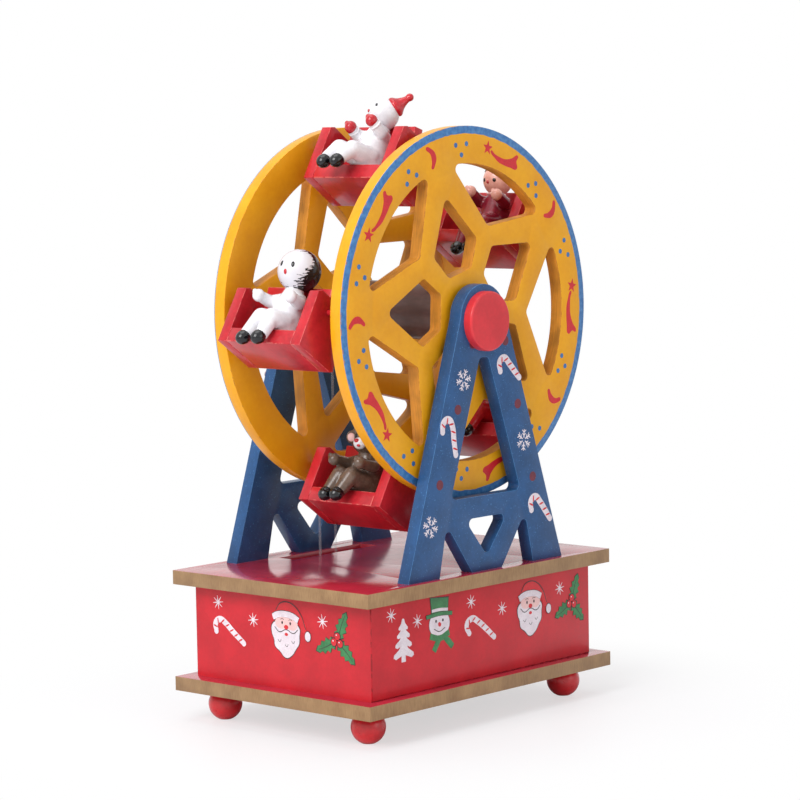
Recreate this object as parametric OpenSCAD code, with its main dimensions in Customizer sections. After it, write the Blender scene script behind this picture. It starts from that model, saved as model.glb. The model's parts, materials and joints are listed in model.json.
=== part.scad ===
// Ferris wheel music box: a painted wooden wheel with five hanging cars on a
// box that holds a wind-up music movement.
// Millimetres, +Z up. The origin is on the floor under the centre of the box.
// The wheel axle lies along Y, and the riders face -X.

/* [Box] */
// Length of the top and bottom boards
board_l = 125; // [122:1:150]
// Width of the top and bottom boards
board_w = 90; // [88:1:104]
// Thickness of the boards of the box, the frames and the wheels
board_t = 4.8; // [4.4:0.1:5.4]
// Height of the walls of the box
wall_h = 31.7; // [31.6:0.1:45]
// Thickness of the walls of the box
wall_t = 5; // [4:0.1:6]
// How far the boards stand out past the short walls
end_overhang = 6; // [3:0.5:7]
// How far the boards stand out past the long walls
side_overhang = 4.5; // [3:0.5:4.5]
// Length of the slot for the belt in the top board
slot_l = 42; // [24:1:60]
// Width of the slot for the belt
slot_w = 7.6; // [6:0.1:7.8]

/* [Feet] */
// Radius of the ball feet
foot_r = 5.8; // [5:0.1:7]
// Radius of the flat that each foot stands on
foot_flat_r = 2.2; // [1.5:0.1:2.6]
// Height from the floor to the bottom board
foot_h = 10.2; // [8.5:0.1:10.2]
// Distance of each foot's centre from the edges of the board
foot_inset = 11.9; // [10:0.1:20]
// Radius of the dowels of the feet and the frames
dowel_r = 1.3; // [1:0.1:1.6]
// Depth of the dowels in the feet and the frames
dowel_depth = 6; // [4:0.5:7]

/* [Frames] */
// Height of the wheel axle above the top board
axle_up = 86.3; // [84:0.1:110]
// Half the width of a frame at its feet
frame_half_w = 39.7; // [36:0.1:50]
// Radius of the round top of a frame
frame_top_r = 11.6; // [10.5:0.1:14]
// How far the round top of the frames and the caps lie below the axle
frame_top_drop = 1.9; // [0:0.1:2.5]
// Distance of each frame from the edge of the top board
frame_inset = 3; // [1:0.5:4]
// Width of each outer foot of a frame
frame_foot_w = 14.7; // [10:0.1:15]
// Half the width of the middle foot of a frame
frame_mid_half_w = 5.1; // [4:0.1:10]
// Radius of the round caps over the axle ends
cap_r = 10.3; // [6:0.1:11]
// Thickness of the caps
cap_t = 1.8; // [1:0.1:4]

/* [Wheels] */
// Wood of the wheels outside the middle of the car pins
rim_w = 5.2; // [4:0.1:7]
// Distance between the two wheels
wheel_span = 48; // [46:0.5:50]
// Gap between the front wheel and the front frame
front_gap = 1.9; // [1.4:0.1:3]
// Direction of the first car, counted from +X towards +Z
wheel_phase = 33; // [0:1:71]
// Radius of the axle
axle_r = 2.5; // [2:0.1:2.8]
// Radius of the drum on the axle between the wheels
drum_r = 9.8; // [6:0.1:12]
// Distance of the car pins from the axle
pivot_r = 57; // [55:0.5:58]
// Inner radius of the rim, where the large openings end
rim_in_r = 49.7; // [48:0.1:51]
// Distance of a large opening's inner corner from the axle
big_in_r = 30.5; // [29:0.1:32]
// Distance of a kite opening's outer corner from the axle
kite_out_r = 40.5; // [38:0.1:41]
// Rounding of the corners of the openings
corner_r = 1.8; // [1:0.1:2.2]

/* [Cars] */
// Width of a car over its side boards
car_w = 37; // [36:0.5:40]
// Thickness of the side boards and the back board of a car
car_side_t = 4; // [3:0.1:4.5]
// Thickness of the floor of a car
car_floor_t = 5; // [4:0.1:6]
// Radius of the pins that the cars hang on
pin_r = 1; // [0.8:0.1:1.4]
// Depth of the pins in the wheels
pin_depth = 3.2; // [2:0.1:3.6]

/* [Riders] */
// Radius of a rider's body
torso_r = 5.2; // [4.6:0.1:5.6]
// Height of a rider's body
torso_h = 18; // [15:0.5:20]
// Radius of a rider's neck
neck_r = 2.9; // [2.4:0.1:3.2]
// Radius of a shoe
shoe_r = 2.5; // [2:0.1:2.8]
// Radius of a hand
hand_r = 2.1; // [1.8:0.1:2.4]

/* [Movement] */
// Gap between the two bridges of the movement
bridge_gap = 41; // [40:0.5:44]
// Thickness of the bridges
bridge_t = 1.5; // [1.2:0.1:2]
// Radius of the main arbor
arbor_r = 1.5; // [1.2:0.1:1.8]
// Radius of the thin arbors
thin_r = 1; // [0.8:0.1:1.2]
// Radius of the spring barrel
barrel_r = 11; // [9:0.1:11]
// Radius of the music cylinder
cyl_r = 6.3; // [5:0.1:6.5]
// Length of the music cylinder
cyl_l = 19; // [17:0.5:19]
// Module of the great wheel and its pinion
gear_m = 0.5; // [0.48:0.01:0.5]
// Teeth of the great wheel
great_teeth = 56; // [50:1:56]
// Teeth of the cylinder pinion
pinion_teeth = 28; // [26:1:30]
// Module of the governor gears
small_m = 0.4; // [0.38:0.01:0.42]
// Teeth of the governor wheels
gov_teeth = 36; // [34:1:37]
// Teeth of the governor pinions
gov_pinion_teeth = 12; // [11:1:14]
// Number of teeth of the comb
comb_notes = 18; // [10:1:20]

/* [Drive] */
// Radius of the lower pulley at the bottom of its groove
low_pulley_r = 3.2; // [2.6:0.1:5]
// Radius of the upper pulley at the bottom of its groove
top_pulley_r = 3.2; // [3:0.1:4.5]
// Thickness of the pulleys
pulley_t = 4; // [3:0.1:4.6]
// Radius of the round drive belt
belt_r = 0.5; // [0.4:0.1:0.8]
// Span of the winding key's wings
key_span = 24; // [16:1:26]
// Height of the winding key's wings
key_h = 11; // [8:0.5:12]

/* [Hidden] */
$fn = 64;

// Clearance of a turning shaft in its hole, on the radius
run_gap = 0.08;
// Clearance of a glued or pressed piece in its hole, on the radius
fit_gap = 0.02;
// Gap between pieces that turn past each other
free_gap = 0.3;
// How far a cut reaches past the face that it opens
cut = 1;

// Places of the box
bottom_z = foot_h;
floor_z = bottom_z + board_t;
ceiling_z = floor_z + wall_h;
top_z = ceiling_z + board_t;
box_l = board_l - 2 * end_overhang;
box_w = board_w - 2 * side_overhang;
rear_in_y = box_w / 2 - wall_t;
foot_x = board_l / 2 - foot_inset;
foot_y = board_w / 2 - foot_inset;
foot_c_z = sqrt(foot_r * foot_r - foot_flat_r * foot_flat_r);
// Distance of the belt from the inside of the rear wall
belt_back = 4.1;
belt_y = rear_in_y - belt_back;
// Wood that a dowel hole leaves in a board
dowel_skin = 0.6;
dowel_in = board_t - dowel_skin;

// Places of the frames and the wheels
wheel_r = pivot_r + rim_w;
frame_out_y = board_w / 2 - frame_inset;
frame_in_y = frame_out_y - board_t;
axle_z = top_z + axle_up;
front_wheel_y = -frame_in_y + front_gap;
front_back_y = front_wheel_y + board_t;
rear_wheel_y = front_back_y + wheel_span;
rear_back_y = rear_wheel_y + board_t;
mid_y = (front_back_y + rear_wheel_y) / 2;
// Length of the axle that stays inside each frame
axle_hold = board_t - free_gap;
// Outer radius of the spacer washers
washer_r = 5;
// Bevel round the caps
cap_bevel = 0.8;

// Frame outline, as shares of the axle height above the top board
gap_top_share = 0.203;
low_window_top_share = 0.21;
low_window_tip_share = 0.056;
window_foot_share = 0.293;
window_top_share = 0.83;
// Frame outline, as shares of half the frame's width
gap_x_share = 0.51;
low_window_x_share = 0.275;
window_x_share = 0.452;
window_top_x_share = 0.055;

// Wheel openings
spokes = 5;
step = 360 / spokes;
// Half angles of the large openings and of the kites' side and inner corners
big_half = 29;
kite_half = 26.5;
kite_in_half = 23;
// Kite corners, as shares of the kite's outer radius
kite_side_share = 0.622;
kite_in_share = 0.37;
// How far the straight sides of a large opening run on past its corners
side_run_share = 1.62;

// Car outline about its pin: x towards the back, z up
car_front = [-14, -9.3];
car_top_front = [-4.3, 7.4];
car_top_flat = 2;
car_bottom_back = [1.4, -19.3];
car_floor_end = [0, -19.3];
car_back_corner = [7.8, 0];
// How far the back board stands up past the side boards
back_rise = 6.3;
floor_dir = (car_floor_end - car_front) / norm(car_floor_end - car_front);
floor_up = [-floor_dir[1], floor_dir[0]];
back_dir = (car_back_corner - car_bottom_back) / norm(car_back_corner - car_bottom_back);
back_fwd = [-back_dir[1], back_dir[0]];
lip_dir = (car_top_front - car_front) / norm(car_top_front - car_front);
back_lean = atan2(back_dir[0], back_dir[1]);
// The line a + t * u meets the line b + s * v at this point
function meet(a, u, b, v) = a + u * cross(b - a, v) / cross(u, v);
lip_in = meet(car_front + floor_up * car_floor_t, floor_dir, car_front, lip_dir);
seat = meet(lip_in, floor_dir, car_bottom_back + back_fwd * car_side_t, back_dir);
// Height of the back board over the seat, along its lean
back_top = car_back_corner + back_dir * back_rise;
back_up = (back_top - seat) * back_dir;
car_y = mid_y - car_w / 2;
car_in_w = car_w - 2 * car_side_t;

// Riders
rider_shift = -3;
rider_y = mid_y + rider_shift;
// Share of the head's radius that stands over the neck
neck_share = 0.92;
elf_r = 5.3;
clown_r = 5.8;
doll_r = 7.2;
bear_r = 6;
gnome_r = 5.3;
// How much higher than the others some riders hold their hands
elf_lift = 1.8;
clown_lift = 3.6;
// Backward lean of the hats, in degrees
hat_lean = 25;
clown_lean = 50;
// Body outline: shares of its height and its radius, in this number of rings
waist_share = 0.3;
base_share = 0.85;
rings = 10;
// Joints of a limb, as shares of the body's radius, its radius and its height
hip_shares = [-1.05, 0.45, 0.33];
knee_shares = [-1.95, 0.55, 0.49];
ankle_shares = [-3.15, 0.6, 0.11];
shoulder_shares = [-0.95, 0.62, 0.8];
hand_shares = [-2.05, 1.2, 0.85];
// Radii of a limb from the hip or shoulder down, as shares of the hand's
thigh_shares = [1.15, 1.2];
knee_ball_share = 1.32;
shin_shares = [1.22, 0.85];
shoulder_ball_share = 1.15;
arm_shares = [1, 0.75];
// Hats as shares of the head's radius: height of the foot, radius of the foot
// and the tip, and length
elf_hat_shares = [0.25, 1.02, 0.3, 1.15];
gnome_hat_shares = [0.3, 1, 0.15, 1.9];
// The clown's cap in outline, and the height and radius of its ball
cap_shares = [[0, 0.6], [0.78, 0.6], [0.74, 0.85], [0.36, 1.15], [0.26, 1.5], [0, 1.5]];
cap_ball_shares = [1.65, 0.36];
// Places and radii of the bear's muzzle and ears
muzzle_shares = [-0.85, 0, -0.15];
muzzle_r_share = 0.42;
ear_shares = [0, 0.75, 0.75];
ear_r_share = 0.4;

// Heights and depths of the movement
bed_t = 1.8;
// Tooth height above and below the pitch circle, as shares of the module
tip_share = 0.85;
root_share = 1.2;
great_r = gear_m * (great_teeth / 2 + tip_share);
bed_z = floor_z + bed_t;
arbor_z = bed_z + great_r + free_gap;
// Gap between the rear bridge and the inside of the rear wall
bridge_back = 13.5;
rear_bridge_y = rear_in_y - bridge_back - bridge_t;
front_bridge_y = rear_bridge_y - bridge_gap - bridge_t;
train_y = front_bridge_y + bridge_t;
gear_t = 1.5;
small_t = 1.2;
// How much wider a pinion is than its wheel, on each side
pinion_over = 0.2;
barrel_w = 13.5;
barrel_wall = 1;
stack_gap = 3;
great_y = train_y + barrel_w + stack_gap;
cyl_y = great_y + gear_t + stack_gap - pinion_over;
cyl_x = gear_m * (great_teeth + pinion_teeth) / 2;
gov_c = small_m * (gov_teeth + gov_pinion_teeth) / 2;
// Directions from the cylinder to the governor wheel and on to the fan
gov_dir = -20;
fan_dir = 50;
gov_x = cyl_x + gov_c * cos(gov_dir);
gov_z = arbor_z + gov_c * sin(gov_dir);
fan_x = gov_x + gov_c * cos(fan_dir);
fan_z = gov_z + gov_c * sin(fan_dir);
small_step = 2.5;
gov_step = 4;
cyl_wheel_y = train_y + small_step;
gov_wheel_y = cyl_wheel_y + gov_step;
fan_y = gov_wheel_y + small_step;
fan_l = 7;
fan_r = 6.4;
fan_t = 0.5;
cock_y = great_y + gear_t + pinion_over + free_gap;
// Tooth widths at the tip and the root, as shares of the pitch
tooth_tip_share = 0.13;
tooth_root_share = 0.5;

// Pieces of the movement
bridge_x0 = -16;
bridge_x1 = 41;
bridge_top = 12;
bridge_foot = 5;
bed_x0 = -18;
bed_x1 = 49;
bed_over = 6;
spring_t = 0.3;
spring_turns = 8;
spring_steps = 20;
cyl_pins = 48;
pin_turn = 360 / cyl_pins;
note_step = 7;
note_run = 5;
pin_h = 0.6;
pin_out_r = 0.22;
comb_t = 1.2;
comb_tip_gap = 0.35;
comb_tooth_l = 9.5;
comb_root_l = 8;
comb_slit = 0.25;
comb_margin = 1;
comb_pitch = (cyl_l - comb_margin) / comb_notes;
comb_x = cyl_x + cyl_r + pin_h + comb_tip_gap;
comb_w = comb_pitch * (comb_notes + 1);
comb_screw_share = 0.2;
cock_side = 3.6;
great_hole_share = 0.3;
great_hole_r = 2.4;
small_screw_r = 0.9;
bed_screw_in = 3;
comb_screw_in = 5;
comb_block_in = 1;
small_head_r = 1.8;
small_head_h = 1;

// Drive
pulley_lip = 2;
low_belt_r = low_pulley_r + free_gap + belt_r;
top_belt_r = top_pulley_r + free_gap + belt_r;
belt_rise = axle_z - arbor_z;
belt_tilt = asin((low_belt_r - top_belt_r) / belt_rise);
belt_steps = 14;
belt_sides = 10;
key_gap = 1.6;
key_collar_r = 3.1;
key_collar_l = 8;
key_t = 1.7;
key_y = box_w / 2 + key_gap;
// Depth of the wings in the collar
key_sink = 1.5;
key_hole_share = 0.52;
key_neck_share = 0.2;

// Places children at a point of a plane across the axle, y0 deep
module upright(y0, t) {
    translate([0, y0 + t, 0]) rotate([90, 0, 0]) linear_extrude(t) children();
}

// A round bar along the axle's direction
module bar(r, y0, len) {
    translate([0, y0 + len, 0]) rotate([90, 0, 0]) cylinder(r = r, h = len);
}

// Rounds the corners of a flat outline
module round_corners(r) {
    offset(r = r, $fn = 20) offset(delta = -r) children();
}

// A board of the box, centred on the origin
module flat_board(z0) {
    translate([-board_l / 2, -board_w / 2, z0]) cube([board_l, board_w, board_t]);
}

module at_feet() {
    for (sx = [-1, 1], sy = [-1, 1]) translate([sx * foot_x, sy * foot_y, 0]) children();
}

// Places of the dowels under the frames, one in the middle of each foot
module at_frame_dowels() {
    for (sy = [-1, 1], sx = [-1, 0, 1])
        translate([sx * (frame_half_w - frame_foot_w / 2), sy * (frame_in_y + board_t / 2), 0])
            children();
}

module at_bed_screws() {
    for (x = [bed_x0 + bed_over / 2, bed_x1 - bed_over / 2],
         y = [front_bridge_y - bed_over / 2, rear_bridge_y + bridge_t + bed_over / 2])
        translate([x, y, 0]) children();
}

module bottom_board() {
    color("firebrick") difference() {
        flat_board(bottom_z);
        at_feet() dowel_hole(bottom_z, -cut, dowel_in);
        at_bed_screws() translate([0, 0, floor_z - bed_screw_in])
            cylinder(r = small_screw_r + fit_gap, h = bed_screw_in + cut);
    }
}

module top_board() {
    color("firebrick") difference() {
        flat_board(ceiling_z);
        translate([-slot_l / 2, belt_y - slot_w / 2, ceiling_z - cut])
            cube([slot_l, slot_w, board_t + 2 * cut]);
        at_frame_dowels() dowel_hole(top_z, -dowel_in, cut);
    }
}

// A long wall, whose outer face is at y = side * box_w / 2
module long_wall(side) {
    translate([-box_l / 2, side * (box_w - wall_t) / 2 - wall_t / 2, floor_z])
        cube([box_l, wall_t, wall_h]);
}

module front_wall() {
    color("crimson") long_wall(-1);
}

module rear_wall() {
    color("crimson") difference() {
        long_wall(1);
        translate([0, 0, arbor_z]) bar(arbor_r + free_gap, rear_in_y - cut, wall_t + 2 * cut);
    }
}

module end_wall(side) {
    color("crimson")
        translate([side * (box_l - wall_t) / 2 - wall_t / 2, -rear_in_y, floor_z])
            cube([wall_t, 2 * rear_in_y, wall_h]);
}

module left_wall() { end_wall(-1); }

module right_wall() { end_wall(1); }

module ball_feet() {
    color("red") at_feet() difference() {
        intersection() {
            translate([0, 0, foot_c_z]) sphere(r = foot_r);
            cylinder(r = 2 * foot_r, h = foot_h);
        }
        dowel_hole(foot_h, -dowel_depth, cut);
    }
}

// A slotted screw along Z whose head stands on z0 and whose shank hangs below
module screw(z0, len) {
    translate([0, 0, z0]) {
        translate([0, 0, -len]) cylinder(r = small_screw_r, h = len + small_head_h / 2);
        difference() {
            cylinder(r = small_head_r, h = small_head_h);
            translate([-small_head_r, -small_head_h / 4, small_head_h / 2])
                cube([2 * small_head_r, small_head_h / 2, small_head_h]);
        }
    }
}

// A hole or a dowel along Z, from one height to another about z0
module dowel_hole(z0, from, to) {
    translate([0, 0, z0 + from]) cylinder(r = dowel_r + fit_gap, h = to - from);
}

module dowel(z0, from, to) {
    translate([0, 0, z0 + from]) cylinder(r = dowel_r, h = to - from);
}

module foot_dowels() {
    color("burlywood") at_feet() dowel(foot_h, fit_gap - dowel_depth, dowel_in - fit_gap);
}

module frame_dowels() {
    color("burlywood") at_frame_dowels() dowel(top_z, fit_gap - dowel_in, dowel_depth - fit_gap);
}

// The A-shaped outline: straight sides that run round the axle, a foot in the
// middle, a tall window above and a small one between the legs
module frame_outline() {
    round_up = axle_up - frame_top_drop;
    slant = asin(frame_top_r / norm([frame_half_w, round_up]))
        + atan2(frame_half_w, round_up);
    touch = [frame_top_r * cos(slant), round_up + frame_top_r * sin(slant)];
    foot_in = frame_half_w - frame_foot_w;
    gap_x = frame_half_w * gap_x_share;
    gap_z = axle_up * gap_top_share;
    difference() {
        union() {
            polygon([[-frame_half_w, 0], [frame_half_w, 0], touch, [-touch[0], touch[1]]]);
            translate([0, round_up]) circle(r = frame_top_r);
        }
        for (s = [-1, 1]) round_corners(corner_r)
            polygon([[s * foot_in, -2 * corner_r], [s * gap_x, gap_z],
                [s * frame_mid_half_w, -2 * corner_r]]);
        round_corners(corner_r)
            polygon([[-frame_half_w * low_window_x_share, axle_up * low_window_top_share],
                [frame_half_w * low_window_x_share, axle_up * low_window_top_share],
                [0, axle_up * low_window_tip_share]]);
        round_corners(corner_r)
            polygon([[-frame_half_w * window_x_share, axle_up * window_foot_share],
                [frame_half_w * window_x_share, axle_up * window_foot_share],
                [frame_half_w * window_top_x_share, axle_up * window_top_share],
                [-frame_half_w * window_top_x_share, axle_up * window_top_share]]);
    }
}

module frame_board(y0) {
    color("steelblue") difference() {
        translate([0, 0, top_z]) upright(y0, board_t) frame_outline();
        translate([0, 0, axle_z]) bar(axle_r + run_gap, y0 - cut, board_t + 2 * cut);
        at_frame_dowels() dowel_hole(top_z, -cut, dowel_depth);
    }
}

module front_frame() { frame_board(-frame_out_y); }

module rear_frame() { frame_board(frame_in_y); }

module axle_cap(y0, out) {
    color("red") translate([0, 0, axle_z - frame_top_drop]) rotate([out * 90, 0, 0])
        rotate_extrude() translate([0, abs(y0)])
            polygon([[0, 0], [cap_r, 0], [cap_r, cap_t - cap_bevel],
                [cap_r - cap_bevel, cap_t], [0, cap_t]]);
}

module front_cap() { axle_cap(-frame_out_y, 1); }

module rear_cap() { axle_cap(frame_out_y, -1); }

module wheel_axle() {
    color("burlywood") translate([0, 0, axle_z])
        bar(axle_r, -frame_in_y - axle_hold, 2 * (frame_in_y + axle_hold));
}

module drum() {
    color("dimgray") translate([0, 0, axle_z]) difference() {
        bar(drum_r, front_back_y, wheel_span);
        bar(axle_r + fit_gap, front_back_y - cut, wheel_span + 2 * cut);
    }
}

function turn(a, p) = [p[0] * cos(a) - p[1] * sin(a), p[0] * sin(a) + p[1] * cos(a)];

// A large opening that points along +X: an arc outside and two straight sides
module big_opening() {
    tip = [big_in_r, 0];
    corner = [rim_in_r * cos(big_half), rim_in_r * sin(big_half)];
    low = [corner[0], -corner[1]];
    round_corners(corner_r) intersection() {
        circle(r = rim_in_r, $fn = 128);
        polygon([tip, tip + (corner - tip) * side_run_share, tip + (low - tip) * side_run_share]);
    }
}

module kite_opening() {
    side = kite_out_r * kite_side_share;
    inner = kite_out_r * kite_in_share;
    round_corners(corner_r) polygon([[kite_out_r, 0], turn(kite_half, [side, 0]),
        turn(kite_in_half, [inner, 0]), turn(-kite_in_half, [inner, 0]),
        turn(-kite_half, [side, 0])]);
}

// One wheel with blind holes for the car pins, which start at pin_y
module wheel_board(y0, pin_y) {
    color("goldenrod") translate([0, 0, axle_z]) difference() {
        upright(y0, board_t) difference() {
            circle(r = wheel_r, $fn = 128);
            for (k = [0:spokes - 1]) {
                rotate(wheel_phase + step * k) kite_opening();
                rotate(wheel_phase + step * (k + 0.5)) big_opening();
            }
        }
        bar(axle_r + fit_gap, y0 - cut, board_t + 2 * cut);
        for (k = [0:spokes - 1]) rotate([0, -wheel_phase - step * k, 0]) translate([pivot_r, 0, 0])
            bar(pin_r + fit_gap, pin_y, pin_depth + cut);
    }
}

module front_wheel() { wheel_board(front_wheel_y, front_back_y - pin_depth); }

module rear_wheel() { wheel_board(rear_wheel_y, rear_wheel_y - cut); }

// Two pins for each car, from inside a wheel to the inner face of a side board
module car_pins() {
    reach = pin_depth - free_gap + (wheel_span - car_w) / 2 + car_side_t;
    color("silver") translate([0, 0, axle_z])
        for (k = [0:spokes - 1]) rotate([0, -wheel_phase - step * k, 0]) translate([pivot_r, 0, 0]) {
            bar(pin_r, front_back_y - pin_depth + free_gap, reach);
            bar(pin_r, rear_wheel_y + pin_depth - free_gap - reach, reach);
        }
}

module washer(y0, len) {
    translate([0, 0, axle_z]) difference() {
        bar(washer_r, y0, len);
        bar(axle_r + fit_gap, y0 - cut, len + 2 * cut);
    }
}

// The front washer fills the gap to the front frame, the rear one lies in
// front of the rear frame
module spacer_washers() {
    color("burlywood") union() {
        washer(-frame_in_y + free_gap, front_gap - free_gap);
        washer(belt_y + pulley_t / 2, frame_in_y - free_gap - belt_y - pulley_t / 2);
        washer(rear_back_y, belt_y - pulley_t / 2 - rear_back_y);
    }
}

// A grooved pulley about Y with its middle at belt_y
module pulley(z0, r, hole) {
    lip = r + pulley_lip;
    color("saddlebrown") translate([0, belt_y, z0]) rotate([90, 0, 0]) rotate_extrude()
        polygon([[hole, -pulley_t / 2], [lip, -pulley_t / 2], [lip, -belt_r - 2 * free_gap],
            [r, -belt_r - free_gap], [r, belt_r + free_gap], [lip, belt_r + 2 * free_gap],
            [lip, pulley_t / 2], [hole, pulley_t / 2]]);
}

module top_pulley() { pulley(axle_z, top_pulley_r, axle_r + fit_gap); }

module lower_pulley() { pulley(arbor_z, low_pulley_r, arbor_r + fit_gap); }

// Middle of the belt at step i of its loop: round the upper pulley, then round
// the lower one, with the straight runs between
function belt_angle(i) = i <= belt_steps
    ? belt_tilt + (180 - 2 * belt_tilt) * i / belt_steps
    : 180 - belt_tilt + (180 + 2 * belt_tilt) * (i - belt_steps - 1) / belt_steps;
function belt_ring(i) = let (a = belt_angle(i), up = i <= belt_steps,
    r = up ? top_belt_r : low_belt_r, z0 = up ? axle_z : arbor_z)
    [for (q = [0:belt_sides - 1]) let (b = 360 * q / belt_sides, d = r + belt_r * cos(b))
        [d * cos(a), belt_y + belt_r * sin(b), z0 + d * sin(a)]];

// A closed round belt over both pulleys
module drive_belt() {
    loop = 2 * (belt_steps + 1);
    color("dimgray") polyhedron([for (i = [0:loop - 1]) each belt_ring(i)],
        [for (i = [0:loop - 1], q = [0:belt_sides - 1])
            let (n = (i + 1) % loop, w = (q + 1) % belt_sides)
            each [[i * belt_sides + q, n * belt_sides + q, n * belt_sides + w],
                [i * belt_sides + q, n * belt_sides + w, i * belt_sides + w]]]);
}

// Moves children to the pin of car k
module at_car(k) {
    a = wheel_phase + step * k;
    translate([pivot_r * cos(a), 0, axle_z + pivot_r * sin(a)]) children();
}

module side_outline() {
    slope_from = car_top_front + [car_top_flat, 0];
    top_back = meet(slope_from, floor_dir, car_bottom_back, back_dir);
    polygon([car_front, car_top_front, slope_from, top_back, car_bottom_back, car_floor_end]);
}

module car_sides(k) {
    color("firebrick") at_car(k) difference() {
        union() {
            upright(car_y, car_side_t) side_outline();
            upright(car_y + car_w - car_side_t, car_side_t) side_outline();
        }
        bar(pin_r + run_gap, car_y - cut, car_w + 2 * cut);
    }
}

// Floor and back board of a car, between its sides
module bench() {
    upright(car_y + car_side_t, car_in_w)
        polygon([car_front, lip_in, seat, back_top + back_fwd * car_side_t, back_top,
            car_bottom_back, car_floor_end]);
}

module car_bench(k) {
    color("firebrick") at_car(k) bench();
}

// Moves children to the corner of the seat, with z up the back board and x
// towards it
module on_seat(k) {
    at_car(k) translate([seat[0], rider_y, seat[1]]) rotate([0, back_lean, 0]) children();
}

// A round bar or cone between two points, with a radius for each end
module limb(a, b, radii) {
    d = b - a;
    translate(a) rotate([0, acos(d[2] / norm(d)), atan2(d[1], d[0])])
        cylinder(r1 = radii[0], r2 = radii[1], h = norm(d));
}

// Radius of the body at share t of its height
function torso_at(t) = t < waist_share
    ? torso_r * (base_share + (1 - base_share) * sin(90 * t / waist_share))
    : neck_r + (torso_r - neck_r) * (1 + cos(180 * (t - waist_share) / (1 - waist_share))) / 2;

function body_point(shares, lift) =
    [torso_r * shares[0], torso_r * shares[1], torso_h * shares[2] + lift];

// A seated body with arms held out and legs over the lip of the car
module rider_body(k, paint, lift) {
    hip = body_point(hip_shares, 0);
    knee = body_point(knee_shares, 0);
    ankle = body_point(ankle_shares, 0);
    shoulder = body_point(shoulder_shares, 0);
    hand = body_point(hand_shares, lift);
    color(paint) difference() {
        on_seat(k) union() {
            translate([-torso_r, 0, 0]) rotate_extrude() polygon(concat([[0, 0]],
                [for (i = [0:rings]) [torso_at(i / rings), torso_h * i / rings]], [[0, torso_h]]));
            for (s = [0, 1]) mirror([0, s, 0]) {
                limb(hip, knee, hand_r * thigh_shares);
                translate(knee) sphere(r = hand_r * knee_ball_share);
                limb(knee, ankle, hand_r * shin_shares);
                translate(ankle) sphere(r = shoe_r);
                translate(shoulder) sphere(r = hand_r * shoulder_ball_share);
                limb(shoulder, hand, hand_r * arm_shares);
                translate(hand) sphere(r = hand_r);
            }
        }
        at_car(k) bench();
    }
}

// Moves children to the middle of a head of radius r, which just clears the
// top of the back board
module at_head(k, r) {
    up = torso_h + r * neck_share;
    reach = sqrt(r * r - pow(max(0, up - back_up), 2));
    on_seat(k) translate([-reach - free_gap, 0, up]) children();
}

// A round head with a flat where it sits on the neck
module head_ball(r) {
    difference() {
        sphere(r = r);
        translate([-r, -r, -r * neck_share - r]) cube([2 * r, 2 * r, r]);
    }
}

module cone_hat(size) {
    rotate([0, hat_lean, 0]) translate([0, 0, size[0]])
        cylinder(r1 = size[1], r2 = size[2], h = size[3]);
}

module elf_head() {
    color("peachpuff") at_head(0, elf_r) union() {
        head_ball(elf_r);
        cone_hat(elf_r * elf_hat_shares);
    }
}

module clown_head() {
    ball = clown_r * cap_ball_shares;
    color("white") at_head(1, clown_r) union() {
        head_ball(clown_r);
        rotate([0, clown_lean, 0]) rotate_extrude() polygon(clown_r * cap_shares);
        rotate([0, clown_lean, 0]) translate([0, 0, ball[0]]) sphere(r = ball[1]);
    }
}

module doll_head() {
    color("white") at_head(2, doll_r) head_ball(doll_r);
}

module bear_head() {
    ear = bear_r * ear_shares;
    color("saddlebrown") at_head(3, bear_r) union() {
        head_ball(bear_r);
        translate(bear_r * muzzle_shares) sphere(r = bear_r * muzzle_r_share);
        for (s = [0, 1]) mirror([0, s, 0]) translate(ear) sphere(r = bear_r * ear_r_share);
    }
}

module gnome_head() {
    color("peachpuff") at_head(4, gnome_r) union() {
        head_ball(gnome_r);
        cone_hat(gnome_r * gnome_hat_shares);
    }
}

module elf_car_sides() { car_sides(0); }

module elf_car_bench() { car_bench(0); }

module elf_body() { rider_body(0, "crimson", elf_lift); }

module clown_car_sides() { car_sides(1); }

module clown_car_bench() { car_bench(1); }

module clown_body() { rider_body(1, "white", clown_lift); }

module doll_car_sides() { car_sides(2); }

module doll_car_bench() { car_bench(2); }

module doll_body() { rider_body(2, "white", 0); }

module bear_car_sides() { car_sides(3); }

module bear_car_bench() { car_bench(3); }

module bear_body() { rider_body(3, "saddlebrown", 0); }

module gnome_car_sides() { car_sides(4); }

module gnome_car_bench() { car_bench(4); }

module gnome_body() { rider_body(4, "red", 0); }

module bedplate() {
    color("goldenrod") difference() {
        translate([bed_x0, front_bridge_y - bed_over, floor_z])
            cube([bed_x1 - bed_x0, rear_bridge_y + bridge_t - front_bridge_y + 2 * bed_over, bed_t]);
        at_bed_screws() translate([0, 0, floor_z - cut])
            cylinder(r = small_screw_r + fit_gap, h = bed_t + 2 * cut);
    }
}

module movement_screws() {
    color("silver") at_bed_screws()
        screw(bed_z, bed_t + bed_screw_in - free_gap);
}

// A bridge plate with a foot on the bedplate; out says which way the foot goes
module bridge(y0, out) {
    color("goldenrod") difference() {
        union() {
            translate([bridge_x0, y0, bed_z])
                cube([bridge_x1 - bridge_x0, bridge_t, arbor_z + bridge_top - bed_z]);
            translate([bridge_x0 + bed_over, out > 0 ? y0 : y0 + bridge_t - bridge_foot, bed_z])
                cube([bridge_x1 - bridge_x0 - 2 * bed_over, bridge_foot, bridge_t]);
        }
        arbor_hole(0, arbor_z, arbor_r, y0);
        arbor_hole(cyl_x, arbor_z, thin_r, y0);
        if (out < 0) {
            arbor_hole(gov_x, gov_z, thin_r, y0);
            arbor_hole(fan_x, fan_z, thin_r, y0);
        }
    }
}

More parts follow.
